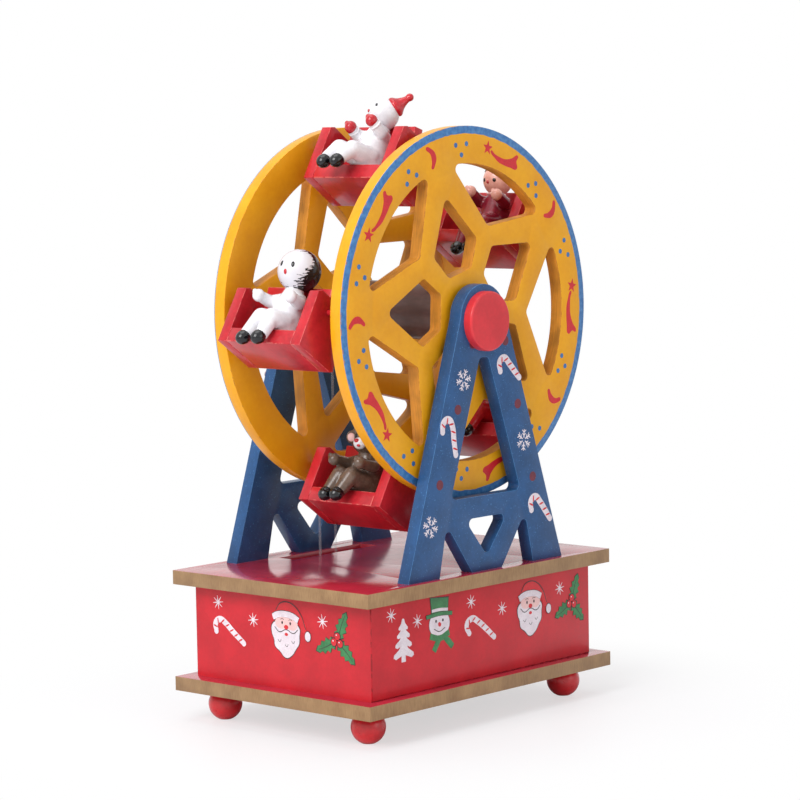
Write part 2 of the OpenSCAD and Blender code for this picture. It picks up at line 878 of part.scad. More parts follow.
module arbor_hole(x, z, r, y0) {
    translate([x, 0, z]) bar(r + run_gap, y0 - cut, bridge_t + 2 * cut);
}

module front_bridge() { bridge(front_bridge_y, -1); }

module rear_bridge() { bridge(rear_bridge_y, 1); }

// A small plate that carries the inner ends of the governor arbors
module governor_cock() {
    color("goldenrod") difference() {
        translate([gov_x - cock_side, cock_y, bed_z])
            cube([fan_x - gov_x + 2 * cock_side, small_t, fan_z + cock_side / 2 - bed_z]);
        translate([gov_x, 0, gov_z]) bar(thin_r + run_gap, cock_y - cut, small_t + 2 * cut);
        translate([fan_x, 0, fan_z]) bar(thin_r + run_gap, cock_y - cut, small_t + 2 * cut);
    }
}

// A drum that is open towards the front bridge
module spring_barrel() {
    color("gold") translate([0, 0, arbor_z]) difference() {
        bar(barrel_r, train_y, barrel_w);
        bar(barrel_r - barrel_wall, train_y - cut, barrel_w - barrel_wall + cut);
        bar(arbor_r + run_gap, train_y, barrel_w + cut);
    }
}

// A flat spiral of steel strip from the arbor to the barrel's wall
module mainspring() {
    r0 = arbor_r + spring_t;
    r1 = barrel_r - barrel_wall - free_gap - spring_t / 2;
    pts = spring_steps * spring_turns;
    function at(i, over) = let (r = r0 + (r1 - r0) * i / pts + over)
        turn(360 * i / spring_steps, [r, 0]);
    color("slategray") translate([0, 0, arbor_z])
        upright(train_y + free_gap, barrel_w - barrel_wall - 2 * free_gap)
            polygon(concat([for (i = [0:pts]) at(i, 0)], [for (i = [pts:-1:0]) at(i, spring_t / 2)]));
}

// The winding shaft: it holds the great wheel, the lower pulley and the key
module main_arbor() {
    color("silver") translate([0, 0, arbor_z])
        bar(arbor_r, front_bridge_y, key_y + key_collar_l / 2 - front_bridge_y);
}

// A gear outline with straight-sided teeth and room between them
module gear_outline(teeth, m) {
    pitch = 360 / teeth;
    r_in = m * (teeth / 2 - root_share);
    r_out = m * (teeth / 2 + tip_share);
    polygon([for (i = [0:teeth - 1], q = [[-tooth_root_share / 2, r_in], [-tooth_tip_share / 2, r_out],
        [tooth_tip_share / 2, r_out], [tooth_root_share / 2, r_in]])
        turn(pitch * (i + q[0]), [q[1], 0])]);
}

// A gear about Y at x, z with its first tooth turned to the angle given
module gear(x, z, teeth, m, y0, t, angle) {
    translate([x, 0, z]) upright(y0, t) rotate(angle) gear_outline(teeth, m);
}

module great_wheel() {
    color("gold") difference() {
        gear(0, arbor_z, great_teeth, gear_m, great_y, gear_t, 0);
        translate([0, 0, arbor_z]) bar(arbor_r + fit_gap, great_y - cut, gear_t + 2 * cut);
        for (k = [0:spokes - 1]) translate([0, 0, arbor_z]) rotate([0, step * k, 0])
            translate([gear_m * great_teeth * great_hole_share, 0, 0])
                bar(great_hole_r, great_y - cut, gear_t + 2 * cut);
    }
}

// A flat key with two wings and a collar on the winding shaft
module winding_key() {
    wing = key_h / 2;
    color("silver") translate([0, 0, arbor_z]) difference() {
        union() {
            bar(key_collar_r, key_y, key_collar_l);
            translate([0, key_y + key_collar_l, 0]) rotate([-90, 0, 0]) wings(wing);
        }
        bar(arbor_r + fit_gap, key_y - cut, key_collar_l / 2 + cut);
    }
}

// The wings stand on the collar's end and reach a little into it
module wings(wing) {
    rotate([90, 0, 0]) translate([0, wing, -key_t / 2]) linear_extrude(key_t) difference() {
        union() {
            for (s = [-1, 1]) translate([s * (key_span / 2 - wing), 0]) circle(r = wing);
            translate([wing - key_span / 2, -wing])
                square([key_span - 2 * wing, wing + key_h * key_neck_share]);
            translate([-key_collar_r / 2, -wing - key_sink]) square([key_collar_r, wing + key_sink]);
        }
        for (s = [-1, 1]) translate([s * (key_span / 2 - wing), 0])
            circle(r = wing * key_hole_share);
    }
}

// Note that pin i plays
function pin_row(i) = (i * note_step + floor(i / note_run)) % comb_notes;

// The music cylinder with rows of fine pins
module music_cylinder() {
    color("gold") translate([cyl_x, 0, arbor_z]) difference() {
        union() {
            bar(cyl_r, cyl_y, cyl_l);
            for (i = [0:cyl_pins - 1])
                translate([0, cyl_y + comb_pitch * (pin_row(i) + 1), 0]) rotate([0, pin_turn * i, 0])
                    cylinder(r = pin_out_r, h = cyl_r + pin_h, $fn = 6);
        }
        bar(thin_r + fit_gap, cyl_y - cut, cyl_l + 2 * cut);
    }
}

module cylinder_arbor() {
    color("silver") union() {
        translate([cyl_x, 0, arbor_z]) bar(thin_r, front_bridge_y, bridge_gap + 2 * bridge_t);
        gear(cyl_x, arbor_z, pinion_teeth, gear_m, great_y - pinion_over,
            gear_t + 2 * pinion_over, 180 / pinion_teeth + 180);
        gear(cyl_x, arbor_z, gov_teeth, small_m, cyl_wheel_y, small_t, gov_dir);
    }
}

// An arbor with a pinion that the cylinder drives and a wheel for the fan
module governor_wheel() {
    color("silver") union() {
        translate([gov_x, 0, gov_z]) bar(thin_r, front_bridge_y, cock_y + small_t - front_bridge_y);
        gear(gov_x, gov_z, gov_pinion_teeth, small_m, cyl_wheel_y - pinion_over,
            small_t + 2 * pinion_over, gov_dir + 180 + 180 / gov_pinion_teeth);
        gear(gov_x, gov_z, gov_teeth, small_m, gov_wheel_y, small_t, fan_dir);
    }
}

// The fast arbor with its pinion and the fan that brakes it
module governor_fan() {
    color("silver") union() {
        translate([fan_x, 0, fan_z]) bar(thin_r, front_bridge_y, cock_y + small_t - front_bridge_y);
        gear(fan_x, fan_z, gov_pinion_teeth, small_m, gov_wheel_y - pinion_over,
            small_t + 2 * pinion_over, fan_dir + 180 + 180 / gov_pinion_teeth);
        translate([fan_x - fan_r, fan_y, fan_z - fan_t / 2]) cube([2 * fan_r, fan_l, fan_t]);
    }
}

// A steel comb whose teeth end at the pins
module comb() {
    color("silver") translate([0, 0, arbor_z]) difference() {
        translate([comb_x, cyl_y, 0]) cube([comb_tooth_l + comb_root_l, comb_w, comb_t]);
        for (i = [1:comb_notes])
            translate([comb_x - cut, cyl_y + comb_pitch * (i + 0.5) - comb_slit / 2, -cut])
                cube([comb_tooth_l + cut, comb_slit, comb_t + 2 * cut]);
        at_comb_screws() translate([0, 0, -cut])
            cylinder(r = small_screw_r + fit_gap, h = comb_t + 2 * cut);
    }
}

module at_comb_screws() {
    for (y = [comb_screw_share, 1 - comb_screw_share])
        translate([comb_x + comb_tooth_l + comb_root_l / 2, cyl_y + comb_w * y, 0]) children();
}

module comb_block() {
    color("goldenrod") difference() {
        translate([comb_x + comb_tooth_l + comb_block_in, cyl_y, bed_z])
            cube([comb_root_l - comb_block_in, comb_w, arbor_z - bed_z]);
        at_comb_screws() translate([0, 0, arbor_z - comb_screw_in])
            cylinder(r = small_screw_r + fit_gap, h = comb_screw_in + cut);
    }
}

module comb_screws() {
    color("slategray") at_comb_screws()
        screw(arbor_z + comb_t, comb_t + comb_screw_in - free_gap);
}

bottom_board();
top_board();
front_wall();
rear_wall();
left_wall();
right_wall();
ball_feet();
foot_dowels();
front_frame();
rear_frame();
frame_dowels();
front_cap();
rear_cap();
wheel_axle();
drum();
front_wheel();
rear_wheel();
car_pins();
spacer_washers();
top_pulley();
drive_belt();
elf_car_sides();
elf_car_bench();
elf_body();
elf_head();
clown_car_sides();
clown_car_bench();
clown_body();
clown_head();
doll_car_sides();
doll_car_bench();
doll_body();
doll_head();
bear_car_sides();
bear_car_bench();
bear_body();
bear_head();
gnome_car_sides();
gnome_car_bench();
gnome_body();
gnome_head();
bedplate();
front_bridge();
rear_bridge();
governor_cock();
spring_barrel();
mainspring();
main_arbor();
great_wheel();
lower_pulley();
winding_key();
music_cylinder();
cylinder_arbor();
comb();
comb_block();
comb_screws();
governor_wheel();
governor_fan();
movement_screws();
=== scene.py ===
# %% [markdown]
# # A painted wooden ferris wheel music box
# The imported model is loaded as a fixed frame first. Every piece made here sits
# where that frame says, in metres, with +Z up.

# %% Load the frame
import json
import math
from functools import partialmethod

import bmesh
import bpy
from mathutils import Matrix, Vector

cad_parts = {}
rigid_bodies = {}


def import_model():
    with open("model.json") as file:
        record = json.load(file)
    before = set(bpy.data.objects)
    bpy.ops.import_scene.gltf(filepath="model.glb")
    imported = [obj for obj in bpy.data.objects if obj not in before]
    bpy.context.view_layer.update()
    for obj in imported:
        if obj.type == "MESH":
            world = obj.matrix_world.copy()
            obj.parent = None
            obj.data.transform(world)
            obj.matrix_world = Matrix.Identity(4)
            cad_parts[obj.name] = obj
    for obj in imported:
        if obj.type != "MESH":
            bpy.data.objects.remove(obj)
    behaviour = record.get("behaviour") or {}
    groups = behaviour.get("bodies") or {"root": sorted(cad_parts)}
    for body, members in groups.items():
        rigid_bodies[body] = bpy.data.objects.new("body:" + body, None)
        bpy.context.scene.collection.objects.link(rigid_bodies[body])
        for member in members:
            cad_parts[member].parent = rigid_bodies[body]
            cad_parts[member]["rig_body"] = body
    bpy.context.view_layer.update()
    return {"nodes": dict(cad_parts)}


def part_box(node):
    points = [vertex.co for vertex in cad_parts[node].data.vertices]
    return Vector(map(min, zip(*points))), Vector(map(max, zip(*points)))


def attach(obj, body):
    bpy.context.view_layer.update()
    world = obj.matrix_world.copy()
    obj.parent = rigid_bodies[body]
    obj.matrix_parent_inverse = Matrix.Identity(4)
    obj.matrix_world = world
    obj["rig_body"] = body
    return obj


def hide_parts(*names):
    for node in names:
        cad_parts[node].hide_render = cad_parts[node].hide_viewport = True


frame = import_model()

mm = 0.001

# %% [markdown]
# ## The camera
# The photo looks at the front and the left side from a little above. The camera
# was fitted to the corners of the two boards of the box, and its three angles
# and its place are written down as found.

# %% Camera
def linked(name, data):
    """A new object in the scene."""
    made = bpy.data.objects.new(name, data)
    bpy.context.scene.collection.objects.link(made)
    return made


YAW, PITCH, ROLL = 0.8368428, 0.0946246, -0.0179245
CAMERA_PLACE = Vector((-0.7519225, -0.6822213, 0.2029285))
SENSOR, FOCAL_PIXELS, PHOTO_PIXELS = 36, 2971.54268, 800
level = math.cos(PITCH)
ahead = Vector((math.sin(YAW) * level, math.cos(YAW) * level, -math.sin(PITCH)))
right = Vector((math.cos(YAW), -math.sin(YAW), 0))
up = right.cross(ahead)
rolled_right = math.cos(ROLL) * right + math.sin(ROLL) * up
rolled_up = -math.sin(ROLL) * right + math.cos(ROLL) * up
lens = bpy.data.cameras.new("camera")
lens.sensor_width = SENSOR
lens.lens = SENSOR * FOCAL_PIXELS / PHOTO_PIXELS
camera = linked("camera", lens)
turn = Matrix((rolled_right, rolled_up, -ahead)).transposed().to_4x4()
camera.matrix_world = Matrix.Translation(CAMERA_PLACE) @ turn
bpy.context.scene.camera = camera
print("camera: lens", round(lens.lens, 1), "mm")

# %% [markdown]
# ## Colours and recipes
# A finish is a small recipe of nodes. Wire wraps one socket, so that a mask can
# be written as a sum, and Nodes adds any other node in one call. Colours are
# given as they look on the screen, from 0 to 255.

# %% Shader helpers
def ink(red, green, blue):
    """A screen colour as the linear colour that a shader takes."""
    def linear(value):
        value /= 255
        return value / 12.92 if value <= 0.04045 else ((value + 0.055) / 1.055) ** 2.4
    return (linear(red), linear(green), linear(blue), 1.0)


class Wire:
    """One socket of a recipe that takes part in sums."""

    def __init__(self, nodes, socket):
        self.nodes, self.socket = nodes, socket

    def maths(self, operation, other):
        return self.nodes.node("Math", {0: self, 1: other}, operation=operation)

    __add__, __sub__ = partialmethod(maths, "ADD"), partialmethod(maths, "SUBTRACT")
    __mul__, __pow__ = partialmethod(maths, "MULTIPLY"), partialmethod(maths, "POWER")


class Nodes:
    """A node tree to which a node is added in one call, with its settings and sockets."""

    def __init__(self, tree):
        self.tree = tree

    def node(self, kind, sockets=None, out=0, **settings):
        node = self.tree.nodes.new("ShaderNode" + kind)
        for name, value in settings.items():
            setattr(node, name, value)
        for name, value in (sockets or {}).items():
            self.feed(node.inputs[name], value)
        return Wire(self, node.outputs[out]) if node.outputs else None

    def feed(self, socket, value):
        if isinstance(value, Wire):
            self.tree.links.new(value.socket, socket)
        else:
            socket.default_value = value


class Recipe(Nodes):
    """The node tree of one finish, with its Principled shader at hand."""

    def __init__(self, name, **constants):
        self.material = bpy.data.materials.new(name)
        self.material.use_nodes = True
        super().__init__(self.material.node_tree)
        self.shader = self.tree.nodes["Principled BSDF"]
        self.give(**constants)

    def give(self, **sockets):
        for name, value in sockets.items():
            self.feed(self.shader.inputs[name.replace("_", " ")], value)
        return self.material

    def place(self):
        return self.node("TexCoord", out="Object")

    def axis(self, letter, centre=0.0):
        """Distance along X, Y or Z from a centre, in mm."""
        return self.node("SeparateXYZ", {0: self.place()}, letter) * 1000 - centre

    def noise(self, size, detail=2.0, stretch=(1, 1, 1), rough=0.5):
        """Cloudy values whose patches are about `size` mm, longer along stretch."""
        spread = tuple(1 / (size * mm * s) for s in stretch)
        mapped = self.node("Mapping", {"Vector": self.place(), "Scale": spread})
        return self.node("TexNoise", {"Vector": mapped, "Scale": 1.0, "Detail": detail,
                                      "Roughness": rough})

    def step(self, value, low, high):
        """0 below low, 1 above high, and a soft slope between them."""
        return self.node("MapRange", {"Value": value, "From Min": low, "From Max": high},
                         interpolation_type="SMOOTHSTEP")

    def mix(self, mask, first, second):
        return self.node("Mix", {0: mask, 6: first, 7: second}, 2, data_type="RGBA")

    def mark(self, name):
        return self.node("Attribute", out="Fac", attribute_name=name)

    def finish(self, base, rough, height, depth, strength=0.5, **more):
        """Colour, roughness, and a bump of `depth` mm where height goes from 0 to 1."""
        bump = self.node("Bump", {"Height": height, "Distance": depth * mm, "Strength": strength})
        return self.give(Base_Color=base, Roughness=rough, Normal=bump, **more)


print("recipes ready")

# %% [markdown]
# ## Brushed paint on wood
# Each colour drifts a little, as paint does that is brushed on by hand, and its
# satin film is thin or chipped at the edges. The edge mark, which the boards
# carry on their rounded strips, says where.

# %% Paint on wood
def painted(name, colour, worn, chips=0.6, drift=0.16, roughness=0.34, grain=(1, 1, 1),
            coat=0.25, lump=0.05, flecks=0.0):
    """Paint whose tone drifts, whose edges chip to `worn`, and whose film is lumpy by `lump` mm."""
    colour, worn = ink(*colour), ink(*worn)
    recipe = Recipe(name, Coat_Roughness=0.14, Specular_IOR_Level=0.3)
    cloud = recipe.noise(11, 3)
    fine = recipe.noise(1.3, 4, grain)
    deep = tuple(c * (1 - drift * 1.6) for c in colour[:3]) + (1,)
    pale = tuple(min(1, c * (1 + drift)) for c in colour[:3]) + (1,)
    film = recipe.mix(recipe.step(cloud * 0.7 + fine * 0.3, 0.3, 0.7), deep, pale)
    edge = recipe.mark("edge")
    thin = recipe.step(recipe.noise(2.4, 5) + edge * 0.2, 0.72 - 0.12 * chips, 0.80 - 0.1 * chips)
    worn_edge = edge * thin
    fleck = recipe.step(recipe.noise(0.55, 2), 0.66, 0.72) * flecks
    base = recipe.mix(worn_edge, recipe.mix(fleck, film, worn), worn)
    rough = fine * 0.16 + (roughness - 0.08) + worn_edge * 0.2
    height = fine * 0.6 + recipe.noise(4.5, 2) * 0.8 - worn_edge * 0.5
    return recipe.finish(base, rough, height, lump, Coat_Weight=coat)


box_red = painted("box_red", (196, 30, 42), (150, 28, 34), drift=0.08, roughness=0.36, coat=0.12)
top_red = painted("top_red", (178, 40, 60), (196, 70, 74), drift=0.1, roughness=0.23, coat=0.4,
                  grain=(6, 1, 1), lump=0.02)
feet_red = painted("feet_red", (204, 34, 40), (160, 30, 34), roughness=0.3, coat=0.4)
cap_red = painted("cap_red", (214, 50, 58), (225, 110, 105), drift=0.08, roughness=0.4)
car_red = painted("car_red", (190, 36, 46), (214, 100, 94), chips=0.5, roughness=0.33, coat=0.2)
frame_blue = painted("frame_blue", (40, 82, 130), (84, 146, 200), chips=1.9, drift=0.14,
                     roughness=0.4, coat=0.1, flecks=0.6)
wheel_cut = painted("wheel_cut", (212, 142, 48), (178, 104, 34), chips=0.5, drift=0.24,
                    roughness=0.5, grain=(5, 0.35, 5), lump=0.16, coat=0.0)
drum_brown = painted("drum_brown", (88, 70, 68), (120, 96, 88), drift=0.22, grain=(1, 4, 1))
print("paints:", len(bpy.data.materials))

# %% [markdown]
# ## Gold on the ends of the boards
# The ends of the two boards are a dull gold over sawn wood, and the saw marks
# show as fine upright lines, made by stretching the noise along Z.

# %% Gold ends
def gold_end():
    recipe = Recipe("gold_ends")
    lines = recipe.noise(0.22, 3, (1, 1, 12))
    cloud = recipe.noise(7, 3)
    streaks = recipe.step(lines * 0.5 + cloud * 0.5, 0.25, 0.75)
    tone = recipe.mix(streaks, ink(132, 100, 68), ink(170, 136, 96))
    rubbed = recipe.mark("edge") * recipe.step(recipe.noise(3, 4), 0.5, 0.62)
    base = recipe.mix(rubbed * 0.7, tone, ink(120, 78, 52))
    return recipe.finish(base, lines * 0.2 + 0.36, lines, 0.03, Metallic=0.3)


gold = gold_end()

# %% [markdown]
# ## The yellow of the wheels
# Each wheel is yellow with a blue line round its outer face. The line comes from
# the distance to the axle, and a little noise makes the brush waver.

# %% Wheel yellow
AXLE_Z, WHEEL_MIDDLE_Y = 137.8, -6.5
LINE_STARTS = (59.95, 60.15)
OUTER_FACES = (28.45 ** 2, 28.5 ** 2)


def wheel_face():
    recipe = Recipe("wheel_yellow", Coat_Roughness=0.2, Specular_IOR_Level=0.3)
    across, height = recipe.axis("X"), recipe.axis("Z", AXLE_Z)
    radius = (across * across + height * height) ** 0.5
    outward = recipe.axis("Y", WHEEL_MIDDLE_Y)
    cloud, fine = recipe.noise(13, 3), recipe.noise(1.6, 4)
    patches = recipe.step(cloud * 0.7 + fine * 0.3, 0.25, 0.75)
    film = recipe.mix(patches, ink(226, 153, 16), ink(238, 170, 24))
    waver = recipe.noise(3.2, 3) * 0.9
    outside = recipe.step(outward * outward, *OUTER_FACES)
    band = recipe.step(radius + waver, *LINE_STARTS) * outside
    blue = recipe.mix(recipe.step(fine, 0.35, 0.7), ink(52, 108, 168), ink(80, 134, 186))
    coated = recipe.mix(band, film, blue)
    edge = recipe.mark("edge")
    rubbed = edge * recipe.step(recipe.noise(2.2, 5), 0.52, 0.6)
    base = recipe.mix(rubbed * 0.8, coated, ink(176, 112, 40))
    height = fine * 0.5 + recipe.noise(5, 2) + band * 0.6
    return recipe.finish(base, fine * 0.16 + 0.3, height, 0.06, Coat_Weight=0.1)


wheel_yellow = wheel_face()

# %% [markdown]
# ## Metal, wood and belt
# The movement and the axle are brass and steel, turned or rolled, so their
# streaks run one way. The dowels are bare beech, and the belt is a clear elastic
# cord, because no belt catches the eye in the photo.

# %% Metal, wood and belt
def metal(name, colour, tarnish, streak):
    recipe = Recipe(name, Metallic=1.0)
    lines, cloud = recipe.noise(0.25, 2, streak), recipe.noise(6, 4)
    base = recipe.mix(recipe.step(cloud, 0.45, 0.75), colour, tarnish)
    return recipe.finish(base, lines * 0.18 + cloud * 0.15 + 0.15, lines, 0.01)


def bare(name, light, dark, size, stretch, roughness, depth=0.05):
    recipe = Recipe(name)
    lines = recipe.noise(size, 4, stretch, 0.6)
    base = recipe.mix(recipe.step(lines, 0.35, 0.65), light, dark)
    return recipe.finish(base, lines * 0.2 + roughness, lines, depth)


steel = metal("steel", ink(186, 188, 192), ink(140, 138, 136), (1, 12, 1))
brass = metal("brass", ink(212, 174, 98), ink(164, 122, 66), (12, 1, 1))
beech = bare("beech", ink(214, 180, 136), ink(182, 140, 94), 0.8, (1, 8, 1), 0.5)
belt_clear = bare("belt_clear", ink(214, 216, 222), ink(196, 198, 206), 0.5, (1, 1, 1), 0.2,
                  0.02)
belt_clear.node_tree.nodes["Principled BSDF"].inputs["Alpha"].default_value = 0.14
print("finishes:", len(bpy.data.materials))

# %% [markdown]
# ## From a bmesh to a piece
# The mesh is written, its creases are marked by angle, and the piece rides on
# the body that carries it. Its object stays at the origin: the place is in the
# mesh.

# %% Finish a piece
def mesh_of(bm, name):
    mesh = bpy.data.meshes.new(name)
    bm.to_mesh(mesh)
    bm.free()
    return mesh


def piece(bm, name, body, finishes, stands_for=(), crease=38):
    mesh = mesh_of(bm, name)
    for finish in finishes:
        mesh.materials.append(finish)
    mesh.shade_smooth()
    mesh.set_sharp_from_angle(angle=math.radians(crease))
    made = linked(name, mesh)
    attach(made, body)
    if stands_for:
        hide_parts(*stands_for)
    return made


# %% [markdown]
# ## Boards with rounded, worn edges
# The boards, wheels, frames and cars have the right shape in the frame, but
# painted wood has no knife edges. In a copy of each mesh the flat triangles are
# joined and the sharp edges bevelled by 0.3 to 0.4 mm. The new strips get an
# edge mark for the worn paint.

# %% Rounded boards
SHARP, FLAT = math.radians(30), math.radians(0.6)
BOARD_END_X, BOARD_END_Y = 60, 43
CORNER_X, CORNER_Y = 56.3, 40.3
WHEEL_RIM = 61
BOARD_BEVEL, WALL_BEVEL, BEVEL = 0.35, 0.4, 0.3


def rounded(node, width, finishes, choose=None, where=None):
    """A board's mesh with its sharp edges bevelled by `width` mm, or only those at `where`."""
    board = frame["nodes"][node]
    bm = bmesh.new()
    bm.from_mesh(board.data)
    bmesh.ops.remove_doubles(bm, verts=bm.verts, dist=2e-6)
    bmesh.ops.dissolve_limit(bm, angle_limit=FLAT, verts=bm.verts, edges=bm.edges)
    ends = [e for e in bm.edges if len(e.link_faces) == 2 and e.calc_face_angle() > SHARP]
    if where:
        ends = [e for e in ends if all(where(v.co / mm) for v in e.verts)]
    mark = bm.faces.layers.float.new("edge")
    made = bmesh.ops.bevel(bm, geom=ends, offset=width * mm, offset_type="OFFSET", segments=2,
                           profile=0.5, affect="EDGES", material=-1, clamp_overlap=True)
    for face in made["faces"]:
        face[mark] = 1.0
    for face in bm.faces:
        middle = face.calc_center_median() / mm
        face.material_index = choose(face.normal, middle) if choose else 0
    bmesh.ops.triangulate(bm, faces=[f for f in bm.faces if len(f.verts) > 4])
    return piece(bm, node + "_finished", board["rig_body"], finishes, (node,), crease=50)


def top_and_ends(normal, centre):
    outside = abs(centre.x) > BOARD_END_X or abs(centre.y) > BOARD_END_Y
    return 1 if outside and abs(normal.z) < 0.8 else 0


def outer_corner(place):
    return abs(place.x) > CORNER_X and abs(place.y) > CORNER_Y


def cut_or_face(normal, centre):
    flat = abs(normal.y) > 0.6
    rim = math.hypot(centre.x, centre.z - AXLE_Z) > WHEEL_RIM
    return 0 if flat or rim else 1


for board in ("top_board", "bottom_board"):
    rounded(board, BOARD_BEVEL, (top_red, gold), top_and_ends)
for wall in ("front_wall", "rear_wall", "left_wall", "right_wall"):
    rounded(wall, WALL_BEVEL, (box_red,), where=outer_corner)
for stand in ("front_frame", "rear_frame"):
    rounded(stand, BEVEL, (frame_blue,))
for wheel in ("front_wheel", "rear_wheel"):
    rounded(wheel, BEVEL, (wheel_yellow, wheel_cut), cut_or_face)
RIDERS = ("elf", "clown", "doll", "bear", "gnome")
for rider in RIDERS:
    for half in ("_car_sides", "_car_bench"):
        rounded(rider + half, BEVEL, (car_red,))

# %% [markdown]
# ## Ball feet and axle caps
# Both are spun from half a profile: a foot is a ball with a flat where it stands
# and one where it is glued, and a cap is a disc with a soft rim. The photo's cap
# stands out further than the model's, and is a little smaller and lower.

# %% Spun pieces
EAST, NORTH, UPWARD = Vector((1, 0, 0)), Vector((0, 1, 0)), Vector((0, 0, 1))


def spun(bm, profile, axis, centre=(0, 0, 0), steps=48, unit=mm):
    """Spins a profile of (radius, height) in mm round an axis through centre."""
    side, middle = EAST if axis.z else UPWARD, Vector(centre) * unit
    points = [bm.verts.new(middle + (side * r + axis * h) * unit) for r, h in profile]
    line = [bm.edges.new(pair) for pair in zip(points, points[1:])]
    bmesh.ops.spin(bm, geom=points + line, cent=middle, axis=axis, dvec=(0, 0, 0),
                   angle=math.tau, steps=steps, use_merge=True)
    bmesh.ops.remove_doubles(bm, verts=bm.verts, dist=unit / 1000)
    bmesh.ops.recalc_face_normals(bm, faces=bm.faces)


def arc(radius, start, end, count, centre=(0, 0)):
    """Points of an arc, as (radius, height), between two angles in degrees."""
    turns = [math.radians(start + (end - start) * i / count) for i in range(count + 1)]
    return [(centre[0] + radius * math.cos(a), centre[1] + radius * math.sin(a)) for a in turns]


FOOT_RADIUS, FOOT_FLAT, FOOT_X, FOOT_Y = 5.8, 2.2, 50.6, 33.1
CAP_STANDS_OUT, CAP_SMALLER, CAP_LOWER, CAP_ROUND = 1.5, 0.3, 0.7, 0.8


def ball_feet():
    bm = bmesh.new()
    low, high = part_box("ball_feet")
    top = high.z / mm
    middle = math.sqrt(FOOT_RADIUS ** 2 - FOOT_FLAT ** 2)
    lowest = -math.degrees(math.acos(FOOT_FLAT / FOOT_RADIUS))
    ball = [p for p in arc(FOOT_RADIUS, lowest, 55, 20, (0, middle)) if p[1] < top - 0.02]
    neck = math.sqrt(FOOT_RADIUS ** 2 - (top - middle) ** 2)
    profile = [(max(r, 0), max(h, 0)) for r, h in [(0, 0)] + ball + [(neck, top), (0, top)]]
    for x in (-FOOT_X, FOOT_X):
        for y in (-FOOT_Y, FOOT_Y):
            spun(bm, profile, UPWARD, (x, y, 0))
    return piece(bm, "turned_feet", "base", (feet_red,), ("ball_feet",))


feet = ball_feet()
for cap, outward in (("front_cap", -1), ("rear_cap", 1)):
    low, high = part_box(cap)
    inner_y = (high if outward < 0 else low).y / mm
    thick = (high.y - low.y) / mm + CAP_STANDS_OUT
    radius = (high.x - low.x) / 2 / mm - CAP_SMALLER
    middle_z = (low.z + high.z) / 2 / mm - CAP_LOWER
    rim = arc(CAP_ROUND, 0, 90, 6, (radius - CAP_ROUND, thick - CAP_ROUND))
    profile = [(0, 0), (radius, 0)] + rim + [(radius * 0.6, thick), (0, thick)]
    bm = bmesh.new()
    spun(bm, profile, NORTH * outward, (0, inner_y, middle_z), 72)
    piece(bm, cap + "_turned", "base", (cap_red,), (cap,))
print("feet and caps turned, feet", len(feet.data.polygons), "faces")

# %% [markdown]
# ## Painted pictures
# The little winter pictures are thin skins of paint that stand less than 0.3 mm
# off the wood. A blot is a flat filled curve, and a stroke is a tapered round
# curve pressed flat. Both become one mesh per board.

# %% Flat paints
def flat_paint(name, colour, deeper):
    recipe = Recipe(name)
    cloud, fine = recipe.noise(3.5, 3), recipe.noise(0.5, 4)
    base = recipe.mix(recipe.step(cloud * 0.5 + fine * 0.5, 0.32, 0.66), deeper, colour)
    return recipe.finish(base, fine * 0.2 + 0.25, fine, 0.03)


PAINTS = {name: flat_paint(name + "_marks", ink(*light), ink(*deep)) for name, light, deep in (
    ("white", (234, 226, 232), (216, 204, 212)),
    ("red", (214, 30, 42), (194, 22, 34)),
    ("black", (34, 26, 28), (52, 38, 38)),
    ("green", (58, 134, 78), (38, 106, 60)),
    ("flesh", (238, 200, 196), (226, 182, 180)),
    ("blue", (66, 122, 178), (44, 98, 158)),
    ("dark_red", (116, 34, 52), (92, 26, 44)),
)}


